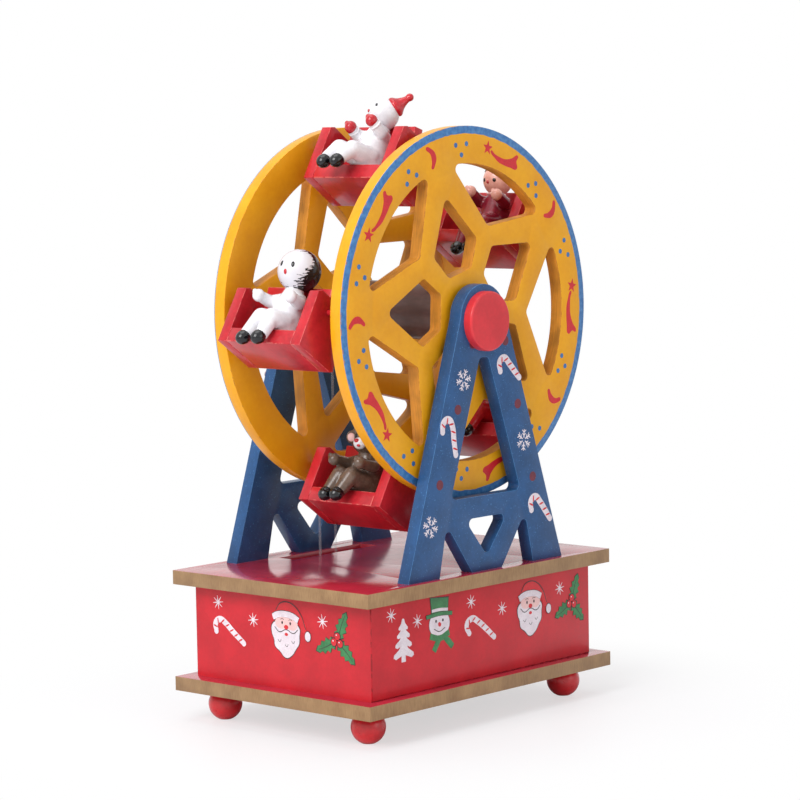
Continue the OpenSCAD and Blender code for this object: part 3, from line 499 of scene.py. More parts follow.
# %% A board's picture
class Picture:
    """Painted marks on an upright face at a distance, in mm across and up from its origin."""

    def __init__(self, name, body, across, distance, height=0):
        self.name, self.body = name, body
        outward = across.cross(UPWARD)
        turn = Matrix((across, UPWARD, outward)).transposed().to_4x4()
        origin = outward * distance + UPWARD * height
        self.spot = Matrix.Translation(origin * mm) @ turn @ Matrix.Scale(mm, 4)
        self.bm, self.paints, self.about = bmesh.new(), [], (0, 0)

    def draw(self, motif, spot, *sizes):
        """Draws a motif with its middle at a spot."""
        self.about = spot
        motif(self, *sizes)
        self.about = (0, 0)

    def lay(self, curve, paint, lift, press):
        """Turns a curve into mesh, presses it flat, and lays it on the board."""
        drawn = bpy.data.objects.new("drawn", curve)
        mesh = bpy.data.meshes.new_from_object(drawn)
        flat = Matrix.Translation((0, 0, lift)) @ Matrix.Diagonal((1, 1, press, 1))
        mesh.transform(self.spot @ flat)
        if paint not in self.paints:
            self.paints.append(paint)
        before = len(self.bm.faces)
        self.bm.from_mesh(mesh)
        self.bm.faces.ensure_lookup_table()
        for face in self.bm.faces[before:]:
            face.material_index = self.paints.index(paint)
        bpy.data.objects.remove(drawn)
        bpy.data.meshes.remove(mesh)
        bpy.data.curves.remove(curve)

    def line(self, curve, points, closed, soft, widths=None):
        spline = curve.splines.new("BEZIER")
        spline.bezier_points.add(len(points) - 1)
        for i, (knot, place) in enumerate(zip(spline.bezier_points, points)):
            knot.co = (self.about[0] + place[0], self.about[1] + place[1], 0)
            knot.handle_left_type = knot.handle_right_type = "AUTO" if soft else "VECTOR"
            knot.radius = widths[i] / 2 if widths else 1
        spline.use_cyclic_u = closed

    def blot(self, paint, points, soft=True, lift=0.0, bumps=6):
        curve = bpy.data.curves.new("blot", "CURVE")
        curve.dimensions, curve.fill_mode, curve.extrude = "2D", "BOTH", 1
        curve.resolution_u = bumps if soft else 1
        self.line(curve, points, True, soft)
        self.lay(curve, paint, lift, 0.05)

    def stroke(self, paint, points, widths, lift=0.0):
        curve = bpy.data.curves.new("stroke", "CURVE")
        curve.dimensions, curve.bevel_depth, curve.bevel_resolution = "3D", 1, 1
        curve.resolution_u, curve.use_fill_caps = 5, True
        widths = [widths] * len(points) if isinstance(widths, (int, float)) else widths
        self.line(curve, points, False, True, widths)
        self.lay(curve, paint, lift + 0.02, 0.12)

    def dot(self, paint, spot, radius, tall=1.0, lift=0.0):
        ring = [(spot[0] + radius * math.cos(a), spot[1] + radius * tall * math.sin(a))
                for a in (math.tau * i / 8 for i in range(8))]
        self.blot(paint, ring, lift=lift, bumps=3)

    def done(self):
        bmesh.ops.remove_doubles(self.bm, verts=self.bm.verts, dist=2e-7)
        bmesh.ops.recalc_face_normals(self.bm, faces=self.bm.faces)
        made = piece(self.bm, self.name, self.body, [PAINTS[p] for p in self.paints], crease=30)
        print(self.name, len(made.data.polygons), "faces")
        return made


# %% [markdown]
# ## The winter motifs
# These are common ornaments: a star of eight rays, a snow crystal, a sugar
# cane, holly, a fir tree, a snowman's head and a bearded head in a cap. Each is
# a few blots and strokes, drawn about its own middle.

# %% Stars, crystals and canes
def star(pic, arm=2.4):
    for k in range(4):
        a = math.radians(45 * k + 8)
        x, y = arm * math.cos(a), arm * math.sin(a)
        pic.stroke("white", [(-x, -y), (0, 0), (x, y)], (0.16, 0.5, 0.16))


def crystal(pic, radius, turn):
    for k in range(6):
        a = math.radians(60 * k + turn)
        out = Vector((math.cos(a), math.sin(a)))
        side = Vector((-out.y, out.x))
        ray = [out * radius * reach for reach in (0.2, 0.55, 1.0)]
        pic.stroke("white", ray, (0.5, 0.5, 0.3))
        for share, twig in ((0.42, 0.24), (0.7, 0.28)):
            fork = out * radius * share
            for sign in (-1, 1):
                tip = fork + (out * 0.8 + side * sign) * radius * twig
                pic.stroke("white", [fork, (fork + tip) / 2, tip], (0.42, 0.4, 0.26))


def cane(pic, points, width=2.2, bars=7):
    """A white bent stick with round ends, and red bars across it at even distances."""
    pic.stroke("white", points, [width * 0.9] + [width] * (len(points) - 2) + [width * 0.9])
    for tip in (points[0], points[-1]):
        pic.dot("white", tip, width * 0.45, lift=0.08)
    lengths = [0.0]
    for first, second in zip(points, points[1:]):
        lengths.append(lengths[-1] + math.dist(first, second))
    for k in range(bars):
        at = lengths[-1] * (k + 0.7) / (bars + 0.4)
        i = max(j for j in range(len(points) - 1) if lengths[j] <= at)
        share = (at - lengths[i]) / (lengths[i + 1] - lengths[i])
        first, second = Vector(points[i]), Vector(points[i + 1])
        middle, along = first.lerp(second, share), (second - first).normalized()
        across = Vector((-along.y, along.x)) * 0.8 + along * 0.42
        half = across * width * 0.48
        pic.stroke("red", [middle - half, middle, middle + half],
                   (width * 0.16, width * 0.27, width * 0.16), lift=0.14)


# %% Holly, tree and heads
LEAF_TEETH = ((0.0, 0.05), (0.15, 0.42), (0.25, 0.24), (0.38, 0.5), (0.48, 0.28), (0.62, 0.42),
              (0.71, 0.2), (0.85, 0.24))


def leaf(pic, root, tip, width):
    """A holly leaf: a toothed green blot with a dark edge and a vein."""
    along, length = (tip - root).normalized(), (tip - root).length
    side = Vector((-along.y, along.x))
    one = [root + along * length * s + side * width * w for s, w in LEAF_TEETH]
    other = [root + along * length * s - side * width * w for s, w in reversed(LEAF_TEETH)]
    outline = one + [tip] + other
    middle = (root + tip) / 2
    pic.blot("black", [middle + (p - middle) * 1.09 for p in outline], soft=False)
    pic.blot("green", outline, soft=False, lift=0.03)
    vein = [root + along * length * 0.1, middle + side * 0.25, tip - along * length * 0.12]
    pic.stroke("black", vein, (0.3, 0.26, 0.14), lift=0.06)


def holly(pic, tips=((4.2, 9.7), (-9.4, -4.1), (7.6, -7.0))):
    for tip in map(Vector, tips):
        leaf(pic, tip.normalized() * 0.9, tip, 5.2)
    for x, y in ((0.1, 1.5), (-1.4, -0.5), (1.3, -0.8)):
        pic.dot("black", (x, y), 1.5, lift=0.07)
        pic.dot("red", (x, y), 1.22, lift=0.1)
        pic.dot("white", (x - 0.35, y + 0.4), 0.25, lift=0.13)


def bearded_head(pic):
    beard = ((-6.3, 1.4), (-6.6, -1.4), (-5.6, -3.6), (-5.2, -5.8), (-3.0, -7.4), (-0.3, -9.4),
             (2.6, -8.2), (4.4, -6.0), (5.8, -4.2), (6.0, -1.6), (6.1, 1.0), (3.0, 2.6),
             (-3.2, 2.8))
    fur = ((-5.9, 3.9), (-3.6, 4.9), (0.3, 5.2), (3.4, 4.7), (5.7, 3.6))
    middle = Vector((0, -3))
    pic.blot("black", [middle + (Vector(p) - middle) * 1.05 for p in beard], bumps=4)
    pic.blot("white", beard, lift=0.03, bumps=4)
    pic.blot("flesh", ((-4.6, 3.4), (-4.3, 0.9), (-1.0, 0.3), (0.2, 0.8), (1.6, 0.2), (4.6, 0.6),
                       (5.0, 3.2), (0.2, 4.2)), lift=0.06, bumps=3)
    pic.blot("red", ((-4.4, 5.0), (-3.6, 7.6), (-0.8, 9.1), (3.2, 8.6), (6.6, 5.6), (9.2, 0.4),
                     (7.6, -0.2), (6.0, 3.4), (0.4, 6.2)), lift=0.03, bumps=4)
    pic.stroke("black", ((-4.6, 6.3), (-2.6, 8.7), (0.2, 9.4), (3.8, 8.5), (6.8, 5.8), (9.0, 1.0)),
               0.34, lift=0.06)
    pic.stroke("black", fur, 2.5, lift=0.06)
    pic.stroke("white", fur, 2.1, lift=0.13)
    pic.dot("black", (9.9, -1.3), 1.45, 1.3, lift=0.06)
    pic.dot("white", (9.9, -1.3), 1.25, 1.3, lift=0.09)
    for x in (-1.7, 2.0):
        pic.dot("black", (x, 2.3), 0.36, 1.5, lift=0.1)
        pic.stroke("black", ((x - 0.8, 3.3), (x, 3.6), (x + 0.8, 3.3)), 0.2, lift=0.1)
    pic.stroke("black", ((-5.2, 0.6), (-3.2, -0.9), (0.1, 0.1), (3.4, -0.9), (5.4, 0.5)), 0.28,
               lift=0.1)
    pic.dot("red", (0.1, 0.9), 0.95, 0.8, lift=0.12)
    pic.dot("red", (0.1, -1.5), 0.75, 0.7, lift=0.1)
    for x, y in ((-3.0, -4.2), (0.2, -5.6), (3.2, -4.2)):
        pic.stroke("black", ((x - 0.8, y + 0.7), (x, y), (x + 0.7, y + 0.8)), 0.18, lift=0.1)


def fir_tree(pic):
    tiers = ((7.0, 2.2, 3.4), (4.8, 3.1, 3.8), (2.2, 4.0, 4.2), (-0.8, 4.9, 4.6))
    for i, (top, half, drop) in enumerate(tiers):
        waist = top - drop * 0.5
        pic.blot("white", ((0, top), (half * 0.45, waist), (half, top - drop - 0.3),
                           (0, top - drop * 0.92), (-half, top - drop - 0.2),
                           (-half * 0.45, waist)), lift=0.03 * i, bumps=3)
    pic.stroke("white", ((0, -3), (0, -5), (0, -7.4)), (1.6, 1.9, 2.2))


def snowman_head(pic):
    pic.dot("black", (0.2, 0.2), 5.3, 0.86)
    pic.dot("white", (0.2, 0.2), 5.1, 0.86, lift=0.03)
    for paint, hat, lift in (("black", ((-4.5, 9.6), (5.1, 8.8), (4.5, 3.2), (-3.8, 3.4)), 0.04),
                             ("green", ((-4.1, 9.3), (4.8, 8.5), (4.2, 3.4), (-3.5, 3.6)), 0.07)):
        pic.blot(paint, hat, soft=False, lift=lift)
    for x in (-1.5, 1.9):
        pic.dot("black", (x, 1.3), 0.42, 1.2, lift=0.06)
    pic.blot("red", ((-0.3, 0.7), (0.9, 0.4), (0.8, -0.6), (-0.3, -0.4)), lift=0.06, bumps=3)
    for paint, line, widths, lift in (
            ("white", ((-3.6, 4.9), (0.4, 5.0), (4.4, 4.6)), 1.0, 0.1),
            ("black", ((-6.5, 3.1), (0.2, 3.6), (6.6, 3.1)), 1.5, 0.1),
            ("green", ((-6.4, 3.1), (0.2, 3.6), (6.5, 3.1)), 1.15, 0.16),
            ("black", ((-2.6, -1.2), (0.2, -2.3), (3.0, -1.3)), 0.3, 0.06),
            ("green", ((-4.6, -3.4), (0.2, -4.6), (5.0, -3.2)), 2.1, 0.06),
            ("green", ((0.6, -4.4), (-1.2, -6.4), (-2.8, -8.6)), (1.6, 2.3, 2.2), 0.06),
            ("green", ((2.0, -4.2), (4.4, -6.0), (6.6, -8.2)), (1.6, 2.3, 2.2), 0.06)):
        pic.stroke(paint, line, widths, lift=lift)


# %% [markdown]
# ## The four walls
# The photo shows the front and the left wall. The rear and the right wall repeat
# their motifs. The winding key turns where the rear wall's cane would be, so it
# has none.

# %% Pictures on the walls
SIDE_X, FRONT_Y, ORIGIN = 56.5, 40.5, (0, 0)
SHORT_WALL = (
    (star, (-29.5, 41.2)), (star, (-12.9, 36.8)), (star, (19.0, 39.4)),
    (cane, ORIGIN, [(-30.5, 31.3), (-30.9, 33.9), (-28.7, 35.5), (-26.0, 34.4), (-23.0, 32.1),
                    (-17.5, 28.3)]),
    (bearded_head, (2.4, 35.0)), (holly, (25.5, 33.7)))
LONG_WALL = (
    (star, (-46.7, 42.2)), (star, (-33.9, 38.6)), (star, (-6.8, 41.4)), (star, (9.2, 37.0)),
    (star, (40.2, 39.9)), (fir_tree, (-41.0, 33.5)), (snowman_head, (-23.3, 36.0)),
    (cane, ORIGIN, [(-8.1, 30.9), (-9.3, 33.8), (-6.4, 35.7), (-3.6, 34.4), (-0.7, 32.4),
                    (4.7, 28.0)]),
    (bearded_head, (24.0, 35.0)),
    (holly, (46.6, 34.2), ((3.6, 9.4), (-9.0, -4.2), (6.4, -7.0))))
KEY_WALL = [row for row in LONG_WALL if row[0] is not cane]


def picture(name, across, distance, rows):
    """One picture of the base: each row is a motif, its spot and its sizes."""
    pic = Picture(name, "base", across, distance)
    for motif, spot, *sizes in rows:
        pic.draw(motif, spot, *sizes)
    return pic.done()


for side, across, distance, rows in (
        ("left", -NORTH, SIDE_X, SHORT_WALL), ("right", NORTH, SIDE_X, SHORT_WALL),
        ("front", EAST, FRONT_Y, LONG_WALL), ("rear", -EAST, FRONT_Y, KEY_WALL)):
    picture(side + "_wall_pictures", across, distance, rows)

# %% [markdown]
# ## Snow and sweets on the frames
# The outside of each blue frame has three snow crystals, three canes and six
# dark dots. The rear frame isn't seen, and gets the same.

# %% Pictures on the frames
FRAME_FACE_Y = 42.0
CRYSTALS = (((-10.6, 116.2), 8), ((20.1, 93.5), 25), ((-28.4, 69.1), 42))
CANES = (
    [(-21.6, 99.9), (-21.0, 102.9), (-18.2, 103.6), (-16.5, 100.9), (-16.0, 97.0), (-15.2, 91.8)],
    [(8.2, 117.8), (8.0, 120.9), (10.5, 122.1), (13.0, 120.0), (15.2, 117.8), (18.0, 115.0)],
    [(23.6, 69.2), (23.4, 72.3), (25.9, 73.5), (28.4, 71.4), (30.8, 68.6), (33.4, 65.3)])
DOTS = ((-13.7, 106.6), (17.2, 106.1), (-23.4, 82.5), (24.6, 80.6), (-5.7, 127.9), (11.1, 127.9))


def dark_dot(pic):
    pic.dot("dark_red", ORIGIN, 1.65)


rows = [(crystal, spot, 3.7, turn) for spot, turn in CRYSTALS]
rows += [(cane, ORIGIN, points, 2.5, 6) for points in CANES]
rows += [(dark_dot, spot) for spot in DOTS]
picture("front_frame_pictures", EAST, FRAME_FACE_Y, rows)
picture("rear_frame_pictures", -EAST, FRAME_FACE_Y, rows)

# %% [markdown]
# ## Comets and crescents on the wheels
# Five comets and five crescents take turns round the rim, with small blue dots
# in threes. Their outlines are written by distance from the axle and by angle,
# so that one set of points serves all five.

# %% Pictures on the wheels
FIRST_KITE, FIRST_GAP, FIFTH = 33, 69, 72
FRONT_WHEEL_Y, REAR_WHEEL_Y = 35.3, 22.3
CRESCENT = ((58.5, 4.9), (57.6, 2.6), (54.6, 0.9), (52.2, 2.0), (51.0, 4.4), (53.2, 3.6),
            (55.9, 3.5))
COMET = ((55.2, 7.4), (54.6, 5.0), (54.3, 2.4), (54.6, -1.0), (56.0, -4.0), (58.2, -6.9),
         (56.2, -6.9), (54.2, -8.3), (52.9, -4.6), (52.4, -1.0), (52.5, 2.4), (53.4, 5.0),
         (54.3, 7.0))
THREES = (((56.2, 20.5), (56.0, 26.1), (52.6, 23.3)), ((55.6, -20.0), (52.6, -23.0), (52.6, -17.0)))


def from_polar(points, turn):
    """Places that are given by distance and angle, turned by `turn` degrees."""
    angles = [(r, math.radians(turn + a)) for r, a in points]
    return [(r * math.cos(a), r * math.sin(a)) for r, a in angles]


def comet_head(pic, turn):
    tips = [(1.05 if i % 2 else 2.5, 36 * i + 10) for i in range(10)]
    pic.blot("red", from_polar(tips, turn), soft=False, lift=0.02)


def wheel_picture(name, across, distance):
    pic = Picture(name, "wheel", across, distance, AXLE_Z)
    for k in range(5):
        kite, gap = FIRST_KITE + FIFTH * k, FIRST_GAP + FIFTH * k
        pic.blot("red", from_polar(CRESCENT, kite))
        pic.blot("red", from_polar(COMET, gap))
        pic.draw(comet_head, from_polar([(55.8, 9.2)], gap)[0], gap)
        for spots in THREES:
            for spot in from_polar(spots, gap):
                pic.dot("blue", spot, 0.85)
    return pic.done()


wheel_picture("front_wheel_pictures", EAST, FRONT_WHEEL_Y)
wheel_picture("rear_wheel_pictures", -EAST, REAR_WHEEL_Y)

# %% [markdown]
# ## Lacquer for the riders
# The riders are small turned and glued figures dipped in thick lacquer. It is
# glossy, pools a little in the hollows, and shows faint brush lines.

# %% Lacquers
def lacquer(name, colour, deep, roughness=0.26, coat=0.3):
    recipe = Recipe(name, Coat_Roughness=0.12, Specular_IOR_Level=0.35)
    cloud, fine = recipe.noise(5, 3), recipe.noise(0.8, 3)
    base = recipe.mix(recipe.step(cloud * 0.7 + fine * 0.3, 0.34, 0.68), deep, colour)
    rough = cloud * 0.1 + roughness - 0.05
    return recipe.finish(base, rough, fine * 0.5 + cloud, 0.06, Coat_Weight=coat)


LACQUER = {name: lacquer(name + "_lacquer", ink(*light), ink(*deep), *film)
           for name, light, deep, *film in (
    ("white", (236, 235, 238), (218, 217, 222)),
    ("red", (206, 40, 50), (178, 26, 38)),
    ("dark_red", (150, 32, 50), (118, 24, 42)),
    ("brown", (112, 92, 78), (84, 68, 58)),
    ("flesh", (232, 176, 160), (216, 154, 140)),
    ("hair", (112, 84, 66), (76, 56, 46), 0.4, 0.1),
    ("black", (16, 17, 22), (9, 9, 12), 0.2, 0.35),
    ("pink", (232, 190, 184), (220, 168, 164)),
)}

# %% [markdown]
# ## How the riders sit
# A rider's places are measured in mm from its car's pins: x towards the back
# board, y along the axle, z up. The seat leans back, so the body is laid out on
# the leaning seat first and then turned with it.

# %% Places in a car
PIN_RADIUS, LEAN, RIDER_Y = 57.0, math.radians(18.35), -9.5
SEAT_CORNER = Vector((-0.63, 0, -12.7))


def pin_of(rider):
    a = math.radians(FIRST_KITE + FIFTH * RIDERS.index(rider))
    return Vector((PIN_RADIUS * math.cos(a), 0, AXLE_Z + PIN_RADIUS * math.sin(a)))


def leaning(x, y, z):
    """Turns a direction with the leaning seat."""
    upright, over = math.cos(LEAN), math.sin(LEAN)
    return Vector((x * upright + z * over, y, z * upright - x * over))


def on_seat(x, y, z):
    """A place on the leaning seat (x from the back board, z up it), from the pin."""
    return leaning(x, y, z) + SEAT_CORNER


# %% [markdown]
# ## Limbs and lumps
# A limb is a cone between two balls, and a lump is a squeezed ball. A voxel
# remesh makes one skin of a body's limbs, and a few rounds of smoothing soften
# the joints as the thick lacquer does.

# %% Limbs and lumps
def facing(direction):
    """The turn that brings +Z to a direction."""
    return direction.to_track_quat("Z", "Y").to_matrix().to_4x4()


def lump(bm, centre, sizes, turn=None, segments=28):
    """A ball at centre with three half sizes, all in mm."""
    turn = turn or Matrix.Identity(4)
    spot = Matrix.Translation(Vector(centre)) @ turn @ Matrix.Diagonal((*sizes, 1))
    bmesh.ops.create_uvsphere(bm, u_segments=segments, v_segments=segments // 2, radius=1.0,
                              matrix=spot)


def limb(bm, start, end, first, last, segments=24):
    """A tapering limb with round ends from start to end."""
    start, end = Vector(start), Vector(end)
    along = end - start
    bmesh.ops.create_cone(bm, cap_ends=True, segments=segments, radius1=first, radius2=last,
                          depth=along.length,
                          matrix=Matrix.Translation((start + end) / 2) @ facing(along))
    lump(bm, start, (first,) * 3, segments=segments)
    lump(bm, end, (last,) * 3, segments=segments)


def skin(bm, voxel=0.36, rounds=6):
    """Makes one smooth skin of overlapping lumps."""
    mesh = mesh_of(bm, "lumps")
    loose = linked("lumps", mesh)
    remesh = loose.modifiers.new("skin", "REMESH")
    remesh.mode, remesh.voxel_size = "VOXEL", voxel
    evaluated = loose.evaluated_get(bpy.context.evaluated_depsgraph_get())
    skinned = bpy.data.meshes.new_from_object(evaluated)
    made = bmesh.new()
    made.from_mesh(skinned)
    for _ in range(rounds):
        bmesh.ops.smooth_vert(made, verts=made.verts, factor=0.5, use_axis_x=True,
                              use_axis_y=True, use_axis_z=True)
    bpy.data.objects.remove(loose)
    bpy.data.meshes.remove(mesh)
    bpy.data.meshes.remove(skinned)
    return made


def seated(bm, rider, name, finish, stands_for=()):
    """Puts a rider's piece, drawn in mm from the pin, into its car."""
    from_pin = Matrix.Scale(mm, 4) @ Matrix.Translation(pin_of(rider))
    bmesh.ops.transform(bm, matrix=from_pin, verts=bm.verts)
    return piece(bm, rider + "_" + name, rider + "_car", (LACQUER[finish],), stands_for, crease=60)


def lumps(rider, name, finish, parts, smoothing=None, stands_for=()):
    """A rider's piece of lumps, made into one skin where a smoothing is given."""
    bm = bmesh.new()
    for part in parts:
        lump(bm, *part)
    return seated(skin(bm, *smoothing) if smoothing else bm, rider, name, finish, stands_for)


# %% [markdown]
# ## Each rider's pose
# The places of heads, hands and shoes follow the photo. The last rider is
# mostly hidden behind the blue frame there, so its pose is a plain one.

# %% Poses
POSES = {
    "elf": dict(
        head=on_seat(-7.7, RIDER_Y, 23.2), radius=5.3,
        hands=((-8.7, -15.6, 7.0), (-8.3, -3.4, 8.0)),
        knees=((-11.6, -12.2, -2.4), (-11.4, -5.2, -2.8)),
        shoes=((-18.6, -11.4, -10.6), (-18.4, -6.0, -11.2)), body="dark_red", hand="flesh"),
    "clown": dict(
        head=on_seat(-4.1, RIDER_Y, 23.8), radius=5.3,
        hands=((-7.3, -13.4, 9.4), (-7.0, -3.6, 7.3)),
        knees=((-13.3, -10.2, 0.2), (-13.5, -4.4, 0.4)),
        shoes=((-18.9, -8.6, -3.4), (-19.2, -3.0, -3.6)), body="white", hand="red"),
    "doll": dict(
        head=on_seat(-4.7, RIDER_Y, 25.5), radius=7.2,
        hands=((-7.8, -15.8, 5.4), (-9.2, -2.6, 5.6)),
        knees=((-11.9, -10.8, -1.0), (-11.0, -5.4, -1.2)),
        shoes=((-17.2, -10.4, -7.0), (-17.0, -3.4, -7.4)), body="white", hand="white"),
    "bear": dict(
        head=on_seat(-9.0, RIDER_Y, 22.4), radius=5.8,
        hands=((-12.4, -15.0, 4.6), (-12.6, -3.6, 5.0)),
        knees=((-12.6, -11.2, 0.0), (-12.2, -5.8, -0.2)),
        shoes=((-18.0, -10.0, -5.4), (-17.6, -4.6, -5.8)), body="brown", hand="brown"),
    "gnome": dict(
        head=on_seat(-6.6, RIDER_Y, 22.6), radius=5.3,
        hands=((-9.4, -15.6, 5.4), (-9.4, -3.4, 5.4)),
        knees=((-12.2, -12.2, -0.6), (-12.2, -5.8, -0.6)),
        shoes=((-18.4, -12.0, -7.0), (-18.4, -6.4, -7.0)), body="red", hand="flesh"),
}
SHOE = (2.9, 2.35, 2.35)


def downward(pose):
    """The direction from a rider's head to the middle of the body."""
    return (on_seat(-5.4, RIDER_Y, 6) - pose["head"]).normalized()


def arm(hand, side):
    """The shoulder and the elbow of the arm that ends at a hand."""
    shoulder = on_seat(-5.2, RIDER_Y + side * 3.3, 15.4)
    return shoulder, (shoulder + Vector(hand)) / 2 + Vector((0.6, side * 1.2, -1.4))


def rider_body(rider):
    pose = POSES[rider]
    bm = bmesh.new()
    neck = pose["head"] + downward(pose) * pose["radius"] * 0.86
    hips, chest = on_seat(-6.3, RIDER_Y, 6.2), on_seat(-5.8, RIDER_Y, 12.2)
    limb(bm, hips, chest, 6.2, 5.3)
    limb(bm, chest, neck, 5.3, 3.0)
    for hand, knee, shoe, side in zip(pose["hands"], pose["knees"], pose["shoes"], (-1, 1)):
        shoulder, elbow = arm(hand, side)
        limb(bm, shoulder, elbow, 2.5, 2.2)
        limb(bm, elbow, hand, 2.2, 1.8)
        hip = on_seat(-8.8, RIDER_Y + side * 2.5, 7.4)
        limb(bm, hip, knee, 3.4, 3.0)
        limb(bm, knee, Vector(shoe) + Vector((1.2, 0, 1.0)), 3.0, 2.3)
    return seated(skin(bm), rider, "figure", pose["body"], (rider + "_body",))


def rider_ends(rider):
    """Hands with a thumb, and shoes, on the ends of the limbs."""
    pose, palms_and_thumbs = POSES[rider], []
    for hand in map(Vector, pose["hands"]):
        palms_and_thumbs += [(hand, (2.15, 2.0, 2.15)),
                             (hand + Vector((-0.4, 1.3, 1.1)), (0.85, 0.85, 1.2), None, 16)]
    lumps(rider, "hands", pose["hand"], palms_and_thumbs, (0.24, 3))
    toes_down = Matrix.Rotation(math.radians(-20), 4, "Y")
    lumps(rider, "shoes", "black",
          [(Vector(shoe) + Vector((-0.5, 0, 0)), SHOE, toes_down) for shoe in pose["shoes"]])


for rider in RIDERS:
    made = rider_body(rider)
    rider_ends(rider)
    print(rider, len(made.data.polygons), "faces in the body")

# %% [markdown]
# ## Heads and faces
# Each eye or mouth is a thin lens of lacquer on the ball of the head, at an
# angle round the head, counted from straight ahead, and an angle up.

# %% Heads
def look(azimuth, elevation):
    """A direction from a head: 0, 0 is ahead, and a negative azimuth is the photo's side."""
    a, e = math.radians(azimuth), math.radians(elevation)
    return leaning(-math.cos(e) * math.cos(a), math.cos(e) * math.sin(a), math.sin(e))


def features(rider, name, finish, sizes, *spots):
    """Lenses of lacquer with three half sizes on a head, at azimuth, elevation and tilt."""
    pose, lenses = POSES[rider], []
    for azimuth, elevation, tilt in spots:
        out = look(azimuth, elevation)
        turn = facing(out) @ Matrix.Rotation(math.radians(tilt), 4, "Z")
        middle = pose["head"] + out * (pose["radius"] - 0.05)
        lenses.append((middle, sizes, turn, 16))
    return lumps(rider, name, finish, lenses)


def doll_head_paint():
    """White lacquer, with black brushed hair on the back whose strokes end ragged."""
    recipe = Recipe("doll_head_lacquer", Coat_Weight=0.3, Coat_Roughness=0.12,
                    Specular_IOR_Level=0.35)
    radius, middle = POSES["doll"]["radius"], pin_of("doll") + POSES["doll"]["head"]
    across, height = recipe.axis("X", middle.x), recipe.axis("Z", middle.z)
    forelock = recipe.step(height, -0.15 * radius, 0.45 * radius)
    strokes = recipe.noise(0.42, 2, (9, 3, 1), 0.5)
    locks = recipe.noise(2.6, 2, (2, 1, 1))
    ragged = strokes * 1.1 + locks * 0.3
    hair = recipe.step(across * (1 / radius) - forelock * 0.58 + ragged, 0.05, 0.1)
    cloud = recipe.noise(5, 3)
    white = recipe.mix(cloud, ink(210, 208, 214), ink(232, 230, 236))
    black = recipe.mix(strokes, ink(16, 15, 17), ink(44, 42, 46))
    return recipe.finish(recipe.mix(hair, white, black), hair * -0.06 + 0.24,
                         hair * 0.8 + strokes * hair, 0.12, 0.6)


def plain_head(rider, finish, squeeze=(1, 1, 1)):
    pose = POSES[rider]
    ball = (pose["head"], [pose["radius"] * s for s in squeeze], None, 64)
    return lumps(rider, "face", finish, [ball], stands_for=(rider + "_head",))


LACQUER["doll_head"] = doll_head_paint()
plain_head("doll", "doll_head")
features("doll", "eyes", "black", (0.62, 1.0, 0.3), (-24, 5, 0), (14, 6, 0))
features("doll", "mouth", "red", (0.62, 0.95, 0.3), (-4, -16, 0))

# %% The clown
plain_head("clown", "white", (1.0, 0.98, 1.02))
features("clown", "eyes", "black", (0.5, 0.75, 0.3), (-6, 23, 20), (68, 30, -20))
features("clown", "nose", "red", (0.6, 0.6, 0.5), (31, 1, 0))
features("clown", "mouth", "red", (1.3, 0.4, 0.3), (33, -14, 0))


def bell_cap(rider, finish, axis, brim, base, height, ball):
    """A cap like a bell with a rolled brim, spun, and set on the head along an axis."""
    bm = bmesh.new()
    profile = [(base * 0.8, brim), (base * 0.94, brim + 0.1), (base, brim + 0.6),
               (base, brim + 1.2), (base * 0.88, brim + 1.8),
               (base * 0.62, brim + height * 0.48), (base * 0.42, brim + height * 0.74),
               (base * 0.3, brim + height), (0, brim + height)]
    spun(bm, profile, UPWARD, steps=40, unit=1)
    bmesh.ops.holes_fill(bm, edges=[e for e in bm.edges if e.is_boundary])
    lump(bm, (0, 0, brim + height + ball * 0.6), (ball,) * 3)
    bmesh.ops.recalc_face_normals(bm, faces=bm.faces)
    tilt = Matrix.Translation(POSES[rider]["head"]) @ facing(axis)
    bmesh.ops.transform(bm, matrix=tilt, verts=bm.verts)
    return seated(skin(bm, 0.3, 3), rider, "cap", finish)


bell_cap("clown", "red", Vector((0.60, -0.59, 0.54)), 3.9, 3.6, 5.8, 1.4)


def cuffs(rider, finish):
    rings = []
    for hand, side in zip(map(Vector, POSES[rider]["hands"]), (-1, 1)):
        back = (arm(hand, side)[1] - hand).normalized()
        rings.append((hand + back * 2.1, (2.15, 2.15, 0.9), facing(back)))
    return lumps(rider, "cuffs", finish, rings)


cuffs("clown", "white")

# %% The bear
bear = POSES["bear"]
plain_head("bear", "brown", (0.98, 1.02, 0.96))
forward = look(-14, -14)
spots = [bear["head"] + look(*way) * (bear["radius"] - 0.4) for way in ((-66, -2), (30, -8))]
lumps("bear", "ears", "brown", [(spot, (2.3, 2.3, 1.3), facing(forward)) for spot in spots])
lumps("bear", "ear_linings", "pink",
      [(spot + forward * 0.85, (1.5, 1.5, 0.7), facing(forward)) for spot in spots])
features("bear", "muzzle", "white", (2.3, 2.1, 1.7), (-14, -28, 0))
features("bear", "eyes", "black", (0.6, 0.75, 0.45), (-34, -6, 0), (4, -4, 0))
lumps("bear", "nose", "red",
      [(bear["head"] + look(-10, -18) * (bear["radius"] + 1.1), (0.8, 0.95, 0.7)),
       (bear["head"] + look(-18, -30) * (bear["radius"] + 1.5), (0.5, 0.7, 0.5))])

# %% The elf and the gnome
for rider in ("elf", "gnome"):
    plain_head(rider, "flesh", (0.98, 1.0, 1.03))
    features(rider, "eyes", "black", (0.6, 0.7, 0.3), (-26, -14, 0), (26, -14, 0))
    features(rider, "nose", "red", (0.5, 0.6, 0.4), (4, -23, 0))


